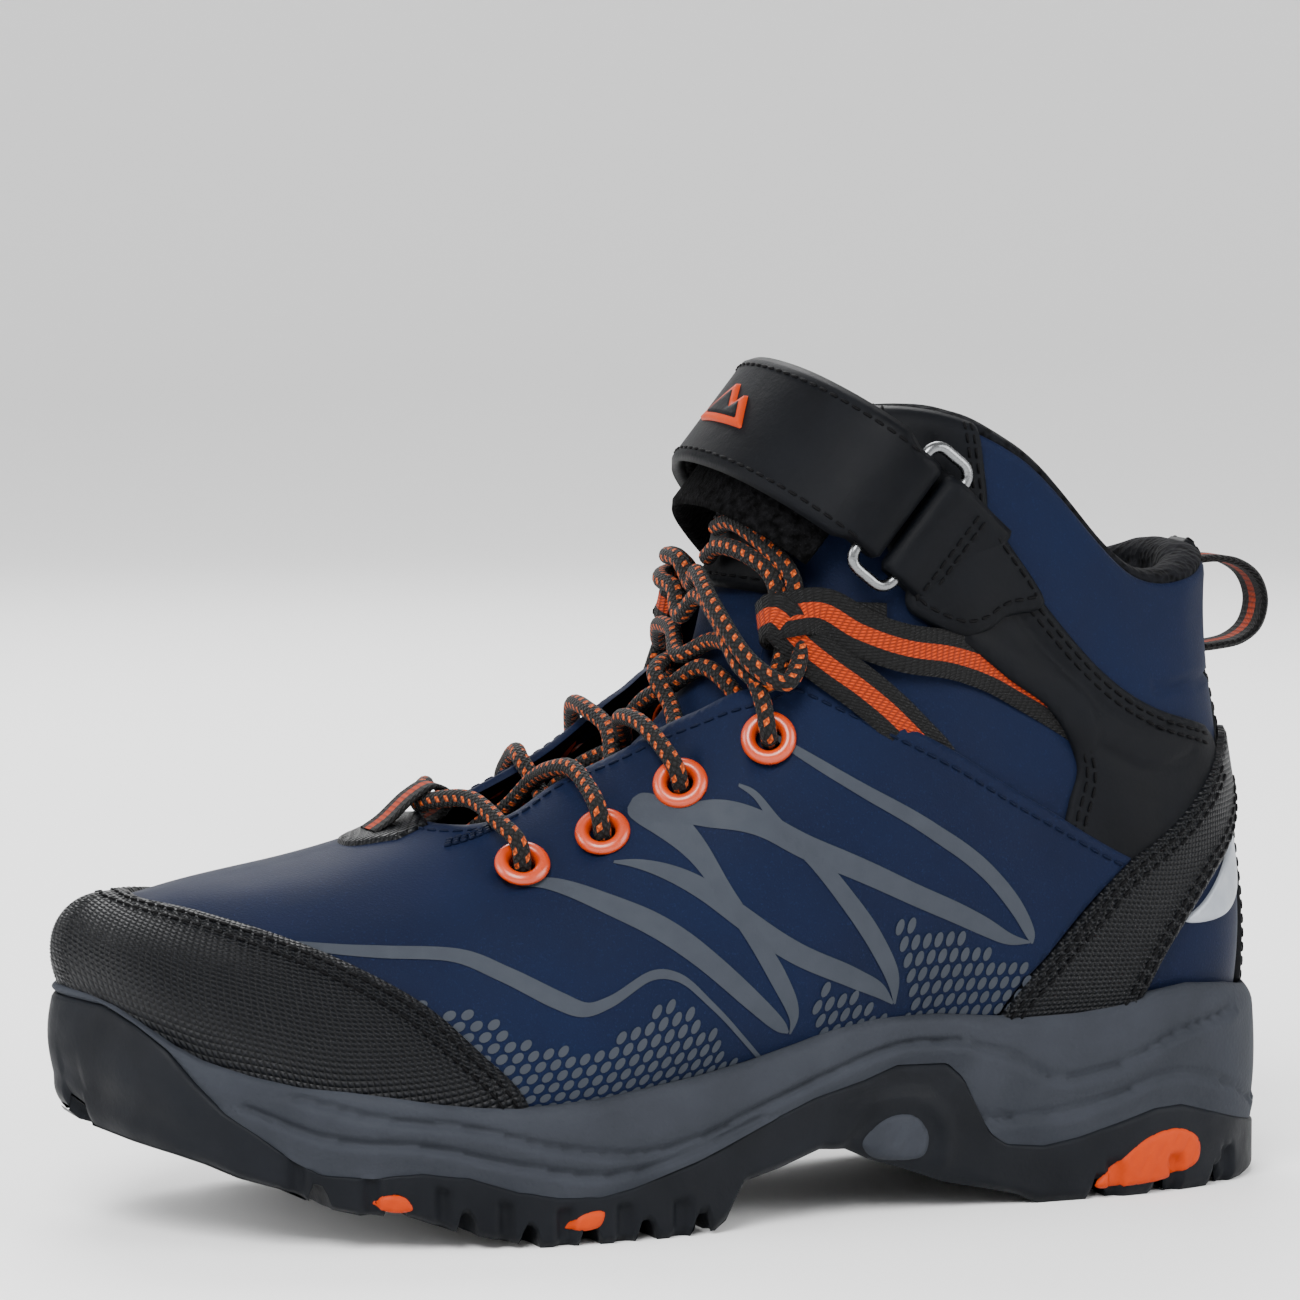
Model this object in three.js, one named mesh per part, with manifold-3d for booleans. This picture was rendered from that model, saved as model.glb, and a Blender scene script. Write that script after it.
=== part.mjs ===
// A left hiking boot: sole unit, layered upper, lacing hardware, lace, ankle strap and pull loop.
//
// Design axes, in millimetres: s runs from the heel to the toe, t to the wearer's outer side,
// z up from the ground.  The last lines turn them into the part's frame.

import * as THREE from 'three';
import { mergeVertices } from 'three/addons/utils/BufferGeometryUtils.js';
import Module from 'manifold-3d';

const wasm = await Module();
wasm.setup();

// ---------------------------------------------------------------- driving dimensions

const PLAY = 0.3;              // gap kept between touching pieces

// Layers of the upper, measured outward from its outer cloth.
const SHELL = [-1.7, 0];
const STIFFENER = [-3.4, -2.0];
const LINING = [-5.4, -3.8];
const TRIM = [0.3, 1.3];
const STRAP_TRIM = [0.3, 1.7];
const COLLAR_PAD = 3.6;        // how much deeper the lining sits behind the padded collar

const LACE_RADIUS = 1.6;
const EYELET_HOLE = 2.3;
const EYELET_FLANGE = 4.9;
const EYELET_BORE = 3.3;       // the hole punched in the upper

const WEBBING_WIDTH = 10;
const STRAP_WIDTH = 24;
const RING_WIRE = 0.95;        // half the wire's thickness
const RING_SPAN = 25;          // inside length of the strap ring

// The shape of the last: columns from the sole's edge F over A and B to the top T, for the
// outer and inner side.  Each is a cubic in height; the columns are joined along the boot.
const OUTER = [
  [0.00, [5, 0, 36], [3.5, 0, 58], [14.5, 0, 88], [12.5, 0, 117]],
  [0.07, [7.5, 12, 36.5], [6, 15, 57], [16.5, 12, 89], [14.5, 12, 116.5]],
  [0.14, [15, 22, 37], [13.5, 25, 57], [22.5, 20.5, 88], [21, 20.5, 114]],
  [0.24, [33, 29.5, 36], [31, 34, 57], [35, 28, 86], [35, 26, 115.5]],
  [0.36, [60, 32, 35.5], [57, 38, 60], [56, 29, 98], [58, 28, 136]],
  [0.45, [80, 34, 35], [76, 42, 62], [75, 31, 110], [74, 27, 144]],
  [0.53, [98, 37, 33], [94, 45, 60], [95, 29, 112], [88, 18, 146.5]],
  [0.59, [112, 39.5, 31], [109, 47, 55], [110, 23, 108], [97, 0, 146]],
  [0.66, [127, 42, 28], [124, 49, 48], [120, 19, 98], [108, 0, 113]],
  [0.74, [146, 44, 25], [145, 49, 42], [138, 23, 82], [130, 0, 85]],
  [0.82, [166, 43, 24], [166, 48, 40], [160, 26, 73], [157, 0, 73]],
  [0.89, [186, 38.5, 26], [188, 43, 43], [186, 25, 65], [184, 0, 64.5]],
  [0.95, [207, 27, 31], [212, 31, 46], [208, 18, 60], [206, 0, 60.5]],
  [0.985, [220, 11, 38], [226, 12, 50], [221, 8, 57], [216, -3, 58.2]],
  [1.00, [226, -4, 41], [232, -4, 52], [226, -4, 58], [220, -4, 57.6]],
];
const INNER = [
  [0.00, [5, 0, 36], [3.5, 0, 58], [14.5, 0, 88], [12.5, 0, 117]],
  [0.07, [7.5, -12, 36.5], [6, -15, 57], [16.5, -12, 89], [14.5, -12, 116.5]],
  [0.14, [15, -21, 37], [13.5, -24, 57], [22.5, -20.5, 88], [21, -20.5, 114]],
  [0.24, [33, -27, 36], [31, -32, 57], [35, -28, 86], [35, -26, 115.5]],
  [0.36, [60, -27, 36], [57, -36, 60], [56, -29, 98], [58, -28, 136]],
  [0.45, [80, -26.5, 36], [76, -38, 62], [75, -31, 110], [74, -27, 144]],
  [0.53, [98, -28, 35], [94, -40, 60], [95, -29, 112], [88, -18, 146.5]],
  [0.59, [112, -31, 33], [109, -42, 56], [110, -23, 108], [97, 0, 146]],
  [0.66, [127, -35, 30], [124, -44, 50], [120, -19, 98], [108, 0, 113]],
  [0.74, [146, -39.5, 27], [145, -46, 43], [138, -23, 82], [130, 0, 85]],
  [0.82, [166, -42, 26], [166, -48, 41], [160, -26, 73], [157, 0, 73]],
  [0.89, [186, -41, 28], [188, -46, 44], [186, -27, 65], [184, 0, 64.5]],
  [0.95, [207, -33, 32], [212, -37, 47], [208, -22, 60], [206, 0, 60.5]],
  [0.985, [220, -19, 38], [226, -20, 50], [221, -14, 57], [216, -3, 58.2]],
  [1.00, [226, -4, 41], [232, -4, 52], [226, -4, 58], [220, -4, 57.6]],
];
const THROAT_TOP = 0.59;       // where the collar's rim ends and the instep ridge begins

// ---------------------------------------------------------------- materials

const paint = (color, roughness, metalness = 0) =>
  new THREE.MeshStandardMaterial({ color, roughness, metalness });

const NAVY = paint('#16233f', 0.8);
const BLACK = paint('#1a1b1e', 0.75);
const TEXTURED = paint('#202226', 0.65);
const LINING_CLOTH = paint('#141416', 0.95);
const FOAM = paint('#4d5058', 0.85);
const RUBBER = paint('#17191d', 0.6);
const ORANGE = paint('#e2541b', 0.4);
const ORANGE_RUBBER = paint('#dd5620', 0.55);
const WEBBING = paint('#1b1b1c', 0.9);
const STEEL = paint('#b9bcc0', 0.25, 1);
const BOARD = paint('#8d7a62', 0.9);
const GREY = paint('#9aa0a6', 0.5);

// ---------------------------------------------------------------- solids

function solidOf(positions, indices) {
  const mesh = new wasm.Mesh({
    numProp: 3,
    vertProperties: new Float32Array(positions),
    triVerts: new Uint32Array(indices),
  });
  return new wasm.Manifold(mesh);
}

function solid(geometry) {
  const bare = new THREE.BufferGeometry();
  bare.setAttribute('position', geometry.getAttribute('position').clone());
  if (geometry.index) bare.setIndex(geometry.index.clone());
  const merged = mergeVertices(bare, 1e-4);
  return solidOf(merged.attributes.position.array, merged.index.array);
}

function geometryOf(body) {
  const mesh = body.getMesh();
  const geometry = new THREE.BufferGeometry();
  const positions = Float32Array.from(mesh.vertProperties);
  geometry.setAttribute('position', new THREE.BufferAttribute(positions, 3));
  geometry.setIndex(new THREE.BufferAttribute(Uint32Array.from(mesh.triVerts), 1));
  geometry.computeVertexNormals();
  return geometry;
}

const boot = new THREE.Group();

function addPiece(name, body, material) {
  const geometry = body.isBufferGeometry ? body : geometryOf(body);
  const mesh = new THREE.Mesh(geometry, material);
  mesh.name = name;
  boot.add(mesh);
  return mesh;
}

// ---------------------------------------------------------------- the surface of the upper

const vector = (list) => new THREE.Vector3(...list);

// One control point of the columns at u, joined by a non-uniform cubic Hermite curve.
function columnPoint(table, row, u) {
  const stations = table.map((column) => column[0]);
  let k = stations.findIndex((station) => station > u) - 1;
  if (k < 0) k = u <= 0 ? 0 : stations.length - 2;
  const slope = (i) => {
    const step = stations[i + 1] - stations[i];
    return vector(table[i + 1][row]).sub(vector(table[i][row])).divideScalar(step);
  };
  const tangent = (i) => {
    if (i === 0) return slope(0);
    if (i === stations.length - 1) return slope(i - 1);
    const before = stations[i] - stations[i - 1];
    const after = stations[i + 1] - stations[i];
    return slope(i - 1).multiplyScalar(after).add(slope(i).multiplyScalar(before))
      .divideScalar(before + after);
  };
  const step = stations[k + 1] - stations[k];
  const f = (u - stations[k]) / step;
  const f2 = f * f;
  const f3 = f2 * f;
  return vector(table[k][row]).multiplyScalar(2 * f3 - 3 * f2 + 1)
    .addScaledVector(tangent(k), (f3 - 2 * f2 + f) * step)
    .addScaledVector(vector(table[k + 1][row]), 3 * f2 - 2 * f3)
    .addScaledVector(tangent(k + 1), (f3 - f2) * step);
}

// A point of the upper's outer cloth: u from heel to toe, v from the sole to the top.
function surfacePoint(table, u, v) {
  const w = 1 - v;
  return columnPoint(table, 1, u).multiplyScalar(w * w * w)
    .addScaledVector(columnPoint(table, 2, u), 3 * w * w * v)
    .addScaledVector(columnPoint(table, 3, u), 3 * w * v * v)
    .addScaledVector(columnPoint(table, 4, u), v * v * v);
}

function sideNormal(table, u, v) {
  const h = 0.002;
  const alongU = surfacePoint(table, Math.min(u + h, 1), v).sub(surfacePoint(table, Math.max(u - h, 0), v));
  const alongV = surfacePoint(table, u, Math.min(v + h, 1)).sub(surfacePoint(table, u, Math.max(v - h, 0)));
  const normal = table === OUTER ? alongV.cross(alongU) : alongU.cross(alongV);
  return normal.normalize();
}

// Both sides share one direction where they meet: heel, toe and ridge.
function surfaceNormal(table, u, v) {
  const normal = sideNormal(table, u, v);
  const onSeam = u === 0 || u === 1 || (v === 1 && u >= THROAT_TOP);
  if (onSeam) normal.add(sideNormal(table === OUTER ? INNER : OUTER, u, v)).normalize();
  return normal;
}

// A place on or off the upper, offset outward from the cloth.
function place(table, u, v, offset) {
  return surfacePoint(table, u, v).addScaledVector(surfaceNormal(table, u, v), offset);
}

// ---------------------------------------------------------------- charts
// A chart is a grid of points and outward directions over part of the upper.  Panels are cut
// flat, in chart coordinates, and then laid on it, so that layers never cut through each other.

const CHART_X = 260;           // millimetres of boot for one unit of u
const CHART_Y = 90;            // and of v
const BULGE = 0.003;           // keeps the flat slab's facets apart while it is cut
const SLAB_REACH = 600;        // taller than the bulged slab
const SLAB_DROP = 50;          // and starting below it

const U_STATIONS = [0, 0.05, 0.1, 0.15, 0.22, 0.3, 0.38, 0.45, 0.51, 0.555, 0.59, 0.64, 0.69, 0.74, 0.79,
  0.84, 0.89, 0.93, 0.965, 0.985, 1];
const V_STATIONS = [0, 0.14, 0.28, 0.42, 0.56, 0.7, 0.85, 1];
const TOE_GAP = 0.0002;        // the toe chart's two ends meet at the toe, this far short of it

function makeChart(xs, ys, locate) {
  const nodes = xs.map((x) => ys.map((y) => {
    const [table, u, v] = locate(x, y);
    return { point: surfacePoint(table, u, v), normal: surfaceNormal(table, u, v) };
  }));
  return { xs, ys, nodes };
}

// Round the heel: x is u on the outer side and minus u on the inner side.
const inward = U_STATIONS.slice(1).reverse().map((u) => -u);
const heelChart = makeChart([...inward, ...U_STATIONS], V_STATIONS,
  (x, y) => [x < 0 ? INNER : OUTER, Math.abs(x), y]);

// Over the instep and toe: y is v on the outer side and 2 - v on the inner side.
const overTop = V_STATIONS.slice(0, -1).reverse().map((v) => 2 - v);
const toeStations = U_STATIONS.filter((u) => u >= THROAT_TOP);
const toeChart = makeChart(toeStations, [...V_STATIONS, ...overTop],
  (x, y) => [y > 1 ? INNER : OUTER, x, y > 1 ? 2 - y : y]);

function cellOf(stations, value) {
  const last = stations.length - 2;
  const found = stations.findIndex((station) => station > value) - 1;
  const cell = found < 0 ? (value < stations[0] ? 0 : last) : found;
  return [cell, (value - stations[cell]) / (stations[cell + 1] - stations[cell])];
}

// Mixes a grid's values over the triangle that holds (x, y); get(i, j) is one corner's value.
function mixOver(chart, x, y, get, mix) {
  const [i, fx] = cellOf(chart.xs, x);
  const [j, fy] = cellOf(chart.ys, y);
  const near = get(i, j);
  const far = get(i + 1, j + 1);
  if (fy <= fx) return mix(near, 1 - fx, get(i + 1, j), fx - fy, far, fy);
  return mix(near, 1 - fy, get(i, j + 1), fy - fx, far, fx);
}

const mixNumbers = (a, wa, b, wb, c, wc) => a * wa + b * wb + c * wc;
const mixVectors = (a, wa, b, wb, c, wc) =>
  a.clone().multiplyScalar(wa).addScaledVector(b, wb).addScaledVector(c, wc);

function bulge(x, y) {
  const across = x * CHART_X;
  const up = y * CHART_Y;
  return BULGE * (across * across + up * up + across * up);
}

// A flat slab over the whole chart; inner and outer are offsets, as numbers or functions.
function flatSlab(chart, inner, outer) {
  const level = (offset, x, y) => (typeof offset === 'function' ? offset(x, y) : offset);
  const { xs, ys } = chart;
  const positions = [];
  for (const offset of [inner, outer]) {
    for (const x of xs) {
      for (const y of ys) {
        positions.push(x * CHART_X, y * CHART_Y, bulge(x, y) + level(offset, x, y));
      }
    }
  }
  const rows = ys.length;
  const layer = xs.length * rows;
  const indices = [];
  const quad = (a, b, c, d) => indices.push(a, b, c, a, c, d);
  for (let i = 0; i < xs.length - 1; i++) {
    for (let j = 0; j < rows - 1; j++) {
      const a = i * rows + j;
      const b = a + rows;
      quad(layer + a, layer + b, layer + b + 1, layer + a + 1);
      indices.push(a, a + 1, b + 1, a, b + 1, b);
    }
  }
  for (let i = 0; i < xs.length - 1; i++) {
    const a = i * rows;
    const b = a + rows;
    quad(a, b, layer + b, layer + a);
    const top = a + rows - 1;
    quad(top + rows, top, layer + top, layer + top + rows);
  }
  for (let j = 0; j < rows - 1; j++) {
    quad(j + 1, j, layer + j, layer + j + 1);
    const a = (xs.length - 1) * rows + j;
    quad(a, a + 1, layer + a + 1, layer + a);
  }
  return solidOf(positions, indices);
}

function outlineCutter(outline) {
  const shape = new THREE.Shape(outline.map(([x, y]) => new THREE.Vector2(x * CHART_X, y * CHART_Y)));
  return solid(new THREE.ExtrudeGeometry(shape, { depth: SLAB_REACH, bevelEnabled: false })
    .translate(0, 0, -SLAB_DROP));
}

// A panel of the upper: the chart's slab, cut to an outline and laid on the boot.
function panel(chart, outline, [inner, outer]) {
  const flat = flatSlab(chart, inner, outer).intersect(outlineCutter(outline));
  return layOn(chart, flat);
}

function layOn(chart, flat) {
  const mesh = flat.getMesh();
  const positions = [];
  for (let i = 0; i < mesh.vertProperties.length; i += mesh.numProp) {
    const x = mesh.vertProperties[i] / CHART_X;
    const y = mesh.vertProperties[i + 1] / CHART_Y;
    const flatLevel = mixOver(chart, x, y, (a, b) => bulge(chart.xs[a], chart.ys[b]), mixNumbers);
    const offset = mesh.vertProperties[i + 2] - flatLevel;
    const point = mixOver(chart, x, y, (a, b) => chart.nodes[a][b].point, mixVectors);
    const normal = mixOver(chart, x, y, (a, b) => chart.nodes[a][b].normal, mixVectors);
    point.addScaledVector(normal, offset);
    positions.push(point.x, point.y, point.z);
  }
  const indices = [];
  for (let i = 0; i < mesh.triVerts.length; i += 3) {
    indices.push(mesh.triVerts[i], mesh.triVerts[i + 2], mesh.triVerts[i + 1]);
  }
  return solidOf(positions, indices);
}

const mirrored = (outline) => outline.map(([x, y]) => [-x, y]).reverse();

// ---------------------------------------------------------------- sole unit
// Each layer is its footprint, extruded upward, cut by its side profile, extruded across.

const SIDE_REACH = 70;         // past the sole's edge on either side
const PLAN_LOW = -5;
const PLAN_HIGH = 60;          // above and below the sole
const SOLE_FLARE = 3;          // how far the sole stands out past the upper's edge
const TREAD_DEPTH = 4;

function footprint(offset) {
  const edge = (table) => U_STATIONS.map((u) => {
    const outwardHere = surfaceNormal(table, u, 0.1).setZ(0).normalize();
    const point = surfacePoint(table, u, 0).addScaledVector(outwardHere, offset);
    return new THREE.Vector2(point.x, point.y);
  });
  const outer = edge(OUTER);
  const inner = edge(INNER).slice(1, -1).reverse();
  return new THREE.Shape([...outer, ...inner]);
}

function upright(shape, low, high) {
  return solid(new THREE.ExtrudeGeometry(shape, { depth: high - low, bevelEnabled: false })
    .translate(0, 0, low));
}

// A side view, s and z, extruded across the boot from one t to another.
function across(shape, from, to) {
  return solid(new THREE.ExtrudeGeometry(shape, { depth: to - from, bevelEnabled: false })
    .rotateX(Math.PI / 2).translate(0, to, 0));
}

const polygon = (points) => new THREE.Shape(points.map(([x, y]) => new THREE.Vector2(x, y)));

// The top of the sole under the upper's edge, heel to toe.
const FEATHER = [[-1, 35], [20, 35.5], [60, 34.2], [80, 33.8], [98, 32], [112, 29.8], [127, 26.8],
  [146, 23.8], [166, 22.8], [186, 24.6], [207, 29.4], [216, 33], [226, 39.4], [233, 40.5]];
// The line where the foam meets the rubber.
const RUBBER_TOP = [[-1, 14], [17, 14], [27, 16.3], [33, 16.1], [41, 14], [49, 11.9], [56, 10.8],
  [63.6, 11.6], [67, 14], [69.6, 19], [72.4, 24.4], [76, 27.2], [86, 27.6], [93, 25.4], [103, 23],
  [113, 19.3], [126, 13.8], [139, 9.9], [145.5, 8.6], [153, 9], [160, 10.3], [168.6, 13.1],
  [177, 14.2], [185, 13.4], [193.4, 13.9], [198, 16.5], [203, 20.6], [208, 24.3], [213, 31.4]];
// The underside: heel, arch, ball with its lugs, and the toe spring.
const GROUND = [[233, 26], [231, 20], [226, 18], [215, 16], [206, 12.5], [200, 11], [193, 8], [187, 6.2],
  [179, 6.4], [171, 3], [163, 1], [156, 0], [120, 0], [118, 8.5], [109.7, 10.6], [101.5, 13.3],
  [96, 12.9], [91.5, 10.7], [86, 9], [76, 5.2], [67, 3], [61, 0.6], [58, 0], [6, 0], [-1, 4]];
// Grooves between the tread's lugs: where each starts along the sole and how wide it is.
const GROOVES = [[14, 3], [27, 3], [40, 3], [128, 3], [139, 3], [150, 3]];

const solePlan = upright(footprint(SOLE_FLARE), PLAN_LOW, PLAN_HIGH);

function outsoleProfile() {
  const bumper = [[213, 31.6], ...FEATHER.slice(-3)];
  return polygon([...RUBBER_TOP, ...bumper, ...GROUND]);
}

function midsoleProfile() {
  const under = RUBBER_TOP.map(([x, z]) => [x, z + PLAY]).reverse();
  const over = FEATHER.slice(0, -3);
  return polygon([...over, [212.6, 31.4], ...under]);
}

// Oval windows of coloured rubber let into the outsole's edge: middle s, z, half sizes and tilt.
const INSERTS = {
  heel_insert: [34, 7, 11, 4.2, -0.35],
  forefoot_insert_rear: [148, 4.6, 3.6, 1.5, 0],
  forefoot_insert_front: [182, 9.6, 3.6, 1.6, 0],
  shank_insert: [85, 14.6, 6.5, 2.6, -0.5],
};
const INSERT_DEPTH = 9;
const INSERT_PROUD = 0.5;
const INSERT_START = 5;        // off the middle of the sole

function oval([s, z, long, short, tilt], grow, from, to) {
  const shape = new THREE.Shape();
  shape.absellipse(s, z, long + grow, short + grow, 0, Math.PI * 2, false, tilt);
  return solid(new THREE.ExtrudeGeometry(shape, { depth: to - from, bevelEnabled: false, curveSegments: 10 })
    .rotateX(Math.PI / 2).translate(0, to, 0));
}

function addSole() {
  let outsole = solePlan.intersect(across(outsoleProfile(), -SIDE_REACH, SIDE_REACH));
  for (const [start, width] of GROOVES) {
    const groove = new THREE.BoxGeometry(width, 2 * SIDE_REACH, 2 * TREAD_DEPTH)
      .translate(start + width / 2, 0, 0);
    outsole = outsole.subtract(solid(groove));
  }
  const core = upright(footprint(SOLE_FLARE - INSERT_DEPTH), PLAN_LOW, PLAN_HIGH);
  const insertPlan = upright(footprint(SOLE_FLARE + INSERT_PROUD), PLAN_LOW, PLAN_HIGH);
  const pocketDepth = SOLE_FLARE - INSERT_DEPTH - PLAY;
  const pocketCore = upright(footprint(pocketDepth), PLAN_LOW, PLAN_HIGH);
  for (const [name, size] of Object.entries(INSERTS)) {
    const sides = [['outer', INSERT_START, SIDE_REACH], ['inner', -SIDE_REACH, -INSERT_START]];
    for (const [side, from, to] of sides) {
      outsole = outsole.subtract(oval(size, PLAY, from, to).subtract(pocketCore));
      const insert = oval(size, 0, from, to).intersect(insertPlan).subtract(core);
      addPiece(`${name}_${side}`, insert, name === 'shank_insert' ? GREY : ORANGE_RUBBER);
    }
  }
  addPiece('outsole', outsole, RUBBER);

  const channel = across(band(SHANK_LINE, SHANK_THICKNESS + 2 * PLAY), -SHANK_HALF - PLAY, SHANK_HALF + PLAY);
  const lid = across(band(SHANK_LINE.map(([x, z]) => [x, z + 3]), 5), -SHANK_HALF - PLAY, SHANK_HALF + PLAY);
  const midsole = solePlan.intersect(across(midsoleProfile(), -SIDE_REACH, SIDE_REACH))
    .subtract(channel).subtract(lid);
  addPiece('midsole', midsole, FOAM);
  addPiece('shank', across(band(SHANK_LINE, SHANK_THICKNESS), -SHANK_HALF, SHANK_HALF), STEEL);
}

// A strip of even thickness along a line, as a closed outline: lift moves it to the line's left,
// and start and end are the part of the line that it covers.
function band(line, thickness, lift = 0, start = 0, end = 1) {
  const curve = new THREE.SplineCurve(line.map(([x, y]) => new THREE.Vector2(x, y)));
  const steps = Math.ceil(3 * (line.length - 1) * (end - start));
  const near = [];
  const far = [];
  for (let i = 0; i <= steps; i++) {
    const f = start + (end - start) * i / steps;
    const tangent = curve.getTangent(f);
    const left = new THREE.Vector2(-tangent.y, tangent.x);
    near.push(curve.getPoint(f).addScaledVector(left, lift + thickness / 2));
    far.unshift(curve.getPoint(f).addScaledVector(left, lift - thickness / 2));
  }
  return new THREE.Shape([...near, ...far]);
}

const SHANK_LINE = [[50, 32.4], [75, 31.8], [98, 29.6], [112, 27.2], [128, 24.2]];
const SHANK_THICKNESS = 1.5;
const SHANK_HALF = 7;
const BOARD_THICKNESS = 1.8;
const FOOTBED_THICKNESS = 4;
const INSIDE = -6.2;           // the footbed and board stand this far in from the upper's edge

function addFootbed() {
  const line = FEATHER.slice(0, -1).map(([x, z]) => [x, z + 2]);
  const plan = upright(footprint(INSIDE), PLAN_LOW, PLAN_HIGH);
  const board = across(band(line, BOARD_THICKNESS), -SIDE_REACH, SIDE_REACH);
  addPiece('insole_board', board.intersect(plan), BOARD);
  const lift = (BOARD_THICKNESS + FOOTBED_THICKNESS) / 2 + PLAY;
  const bed = across(band(line, FOOTBED_THICKNESS, lift), -SIDE_REACH, SIDE_REACH);
  addPiece('footbed', bed.intersect(plan), LINING_CLOTH);
}

// ---------------------------------------------------------------- the upper's panels

const FACING_EDGE = [[0.86, 0.9], [0.83, 0.83], [0.8, 0.81], [0.76, 0.82], [0.7, 0.745], [0.657, 0.675],
  [0.593, 0.605], [0.562, 0.604]];
const STRAP_FRONT = [[0.275, 0.355], [0.312, 0.242], [0.348, 0.121], [0.39, 0]];
const PANEL_TOP = [[0.527, 0.558], [0.487, 0.512], [0.425, 0.462], [0.345, 0.417], [0.283, 0.368]];
const SPLIT_LOW = [0.71, 0];   // where the quarter and the vamp are joined under the side panel
const SPLIT_HIGH = [0.775, 0.8];
const JOIN = 0.0018;           // half the gap between joined panels, as a share of u
const TOE_END = 1 - TOE_GAP;
// The inner layers leave out the sharp top of the toe.
const TOE_NOTCH = [[TOE_END, 1.3], [0.97, 1.12], [0.97, 0.88], [TOE_END, 0.7]];

const shift = (points, dx, dy) => points.map(([x, y]) => [x + dx, y + dy]);
const otherSide = (points) => points.map(([x, y]) => [x, 2 - y]).reverse();
// Over the toe, from the outer edge to the inner edge.
const overToe = (points) => [...points, ...otherSide(points)];

const EYELETS = [[0.792, 0.621], [0.735, 0.608], [0.675, 0.575], [0.588, 0.521]];

function turned(geometry, table, u, v, offset) {
  const normal = surfaceNormal(table, u, v);
  const turn = new THREE.Quaternion().setFromUnitVectors(new THREE.Vector3(0, 1, 0), normal);
  const origin = place(table, u, v, offset);
  return geometry.applyQuaternion(turn).translate(origin.x, origin.y, origin.z);
}

const punches = [OUTER, INNER].flatMap((table) => EYELETS.map(([u, v]) =>
  solid(turned(new THREE.CylinderGeometry(EYELET_BORE, EYELET_BORE, 9, 12), table, u, v, 0))));

function punched(body) {
  return punches.reduce((rest, punch) => rest.subtract(punch), body);
}

function addBothSides(name, outline, layer, material, finish = (body) => body) {
  addPiece(`${name}_outer`, finish(panel(heelChart, outline, layer)), material);
  addPiece(`${name}_inner`, finish(panel(heelChart, mirrored(outline), layer)), material);
}

function addShell() {
  const quarter = [[JOIN, -0.1], [SPLIT_LOW[0], -0.1], SPLIT_LOW, SPLIT_HIGH, ...FACING_EDGE.slice(3),
    [0.556, 0.75], [0.55, 1.1], [JOIN, 1.1]];
  addBothSides('quarter', quarter, SHELL, NAVY, punched);
  const rear = shift([[SPLIT_LOW[0], -0.1], SPLIT_LOW, SPLIT_HIGH, [0.8, 0.81]], 2 * JOIN, 0);
  const throat = [[0.826, 0.87], [0.834, 0.94]];
  const vamp = overToe([...rear, ...throat]);
  addPiece('vamp', punched(panel(toeChart, [...vamp, [TOE_END, 2.1], [TOE_END, -0.1]], SHELL)), NAVY);
}

function addInside() {
  const counter = [[-0.3, 0.02], [0.3, 0.02], [0.27, 0.4], [0.2, 0.5], [-0.2, 0.5], [-0.27, 0.4]];
  addPiece('heel_counter', panel(heelChart, counter, STIFFENER), BOARD);
  const puffEdge = overToe([[0.86, 0.02], [0.89, 0.4], [0.92, 0.75], [0.93, 0.97]]);
  const puff = [...puffEdge, [TOE_END, 1.98], ...TOE_NOTCH, [TOE_END, 0.02]];
  addPiece('toe_puff', panel(toeChart, puff, STIFFENER), BOARD);

  const padDepth = (x, y) => COLLAR_PAD * THREE.MathUtils.smoothstep(y, 0.5, 0.62);
  const lining = [[-0.72, -0.1], [0.72, -0.1], [0.74, 0.44], [0.6, 0.42], [0.505, 0.5], [0.5, 0.975],
    [-0.5, 0.975], [-0.505, 0.5], [-0.6, 0.42], [-0.74, 0.44]];
  const liningLayer = LINING.map((offset) => (x, y) => offset - padDepth(x, y));
  addPiece('quarter_lining', panel(heelChart, lining, liningLayer), LINING_CLOTH);
  const foam = [[-0.49, 0.64], [0.49, 0.64], [0.49, 0.96], [-0.49, 0.96]];
  const foamLayer = [LINING[1] - COLLAR_PAD + 0.8, STIFFENER[1]];
  addPiece('collar_foam', panel(heelChart, foam, foamLayer), LINING_CLOTH);
  const front = overToe([[0.725, -0.1], [0.745, 0.41], [0.8, 0.44], [0.848, 0.75], [0.855, 0.95]]);
  const vampLining = [...front, [TOE_END, 2.1], ...TOE_NOTCH, [TOE_END, -0.1]];
  addPiece('vamp_lining', panel(toeChart, vampLining, LINING), LINING_CLOTH);
}

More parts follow.
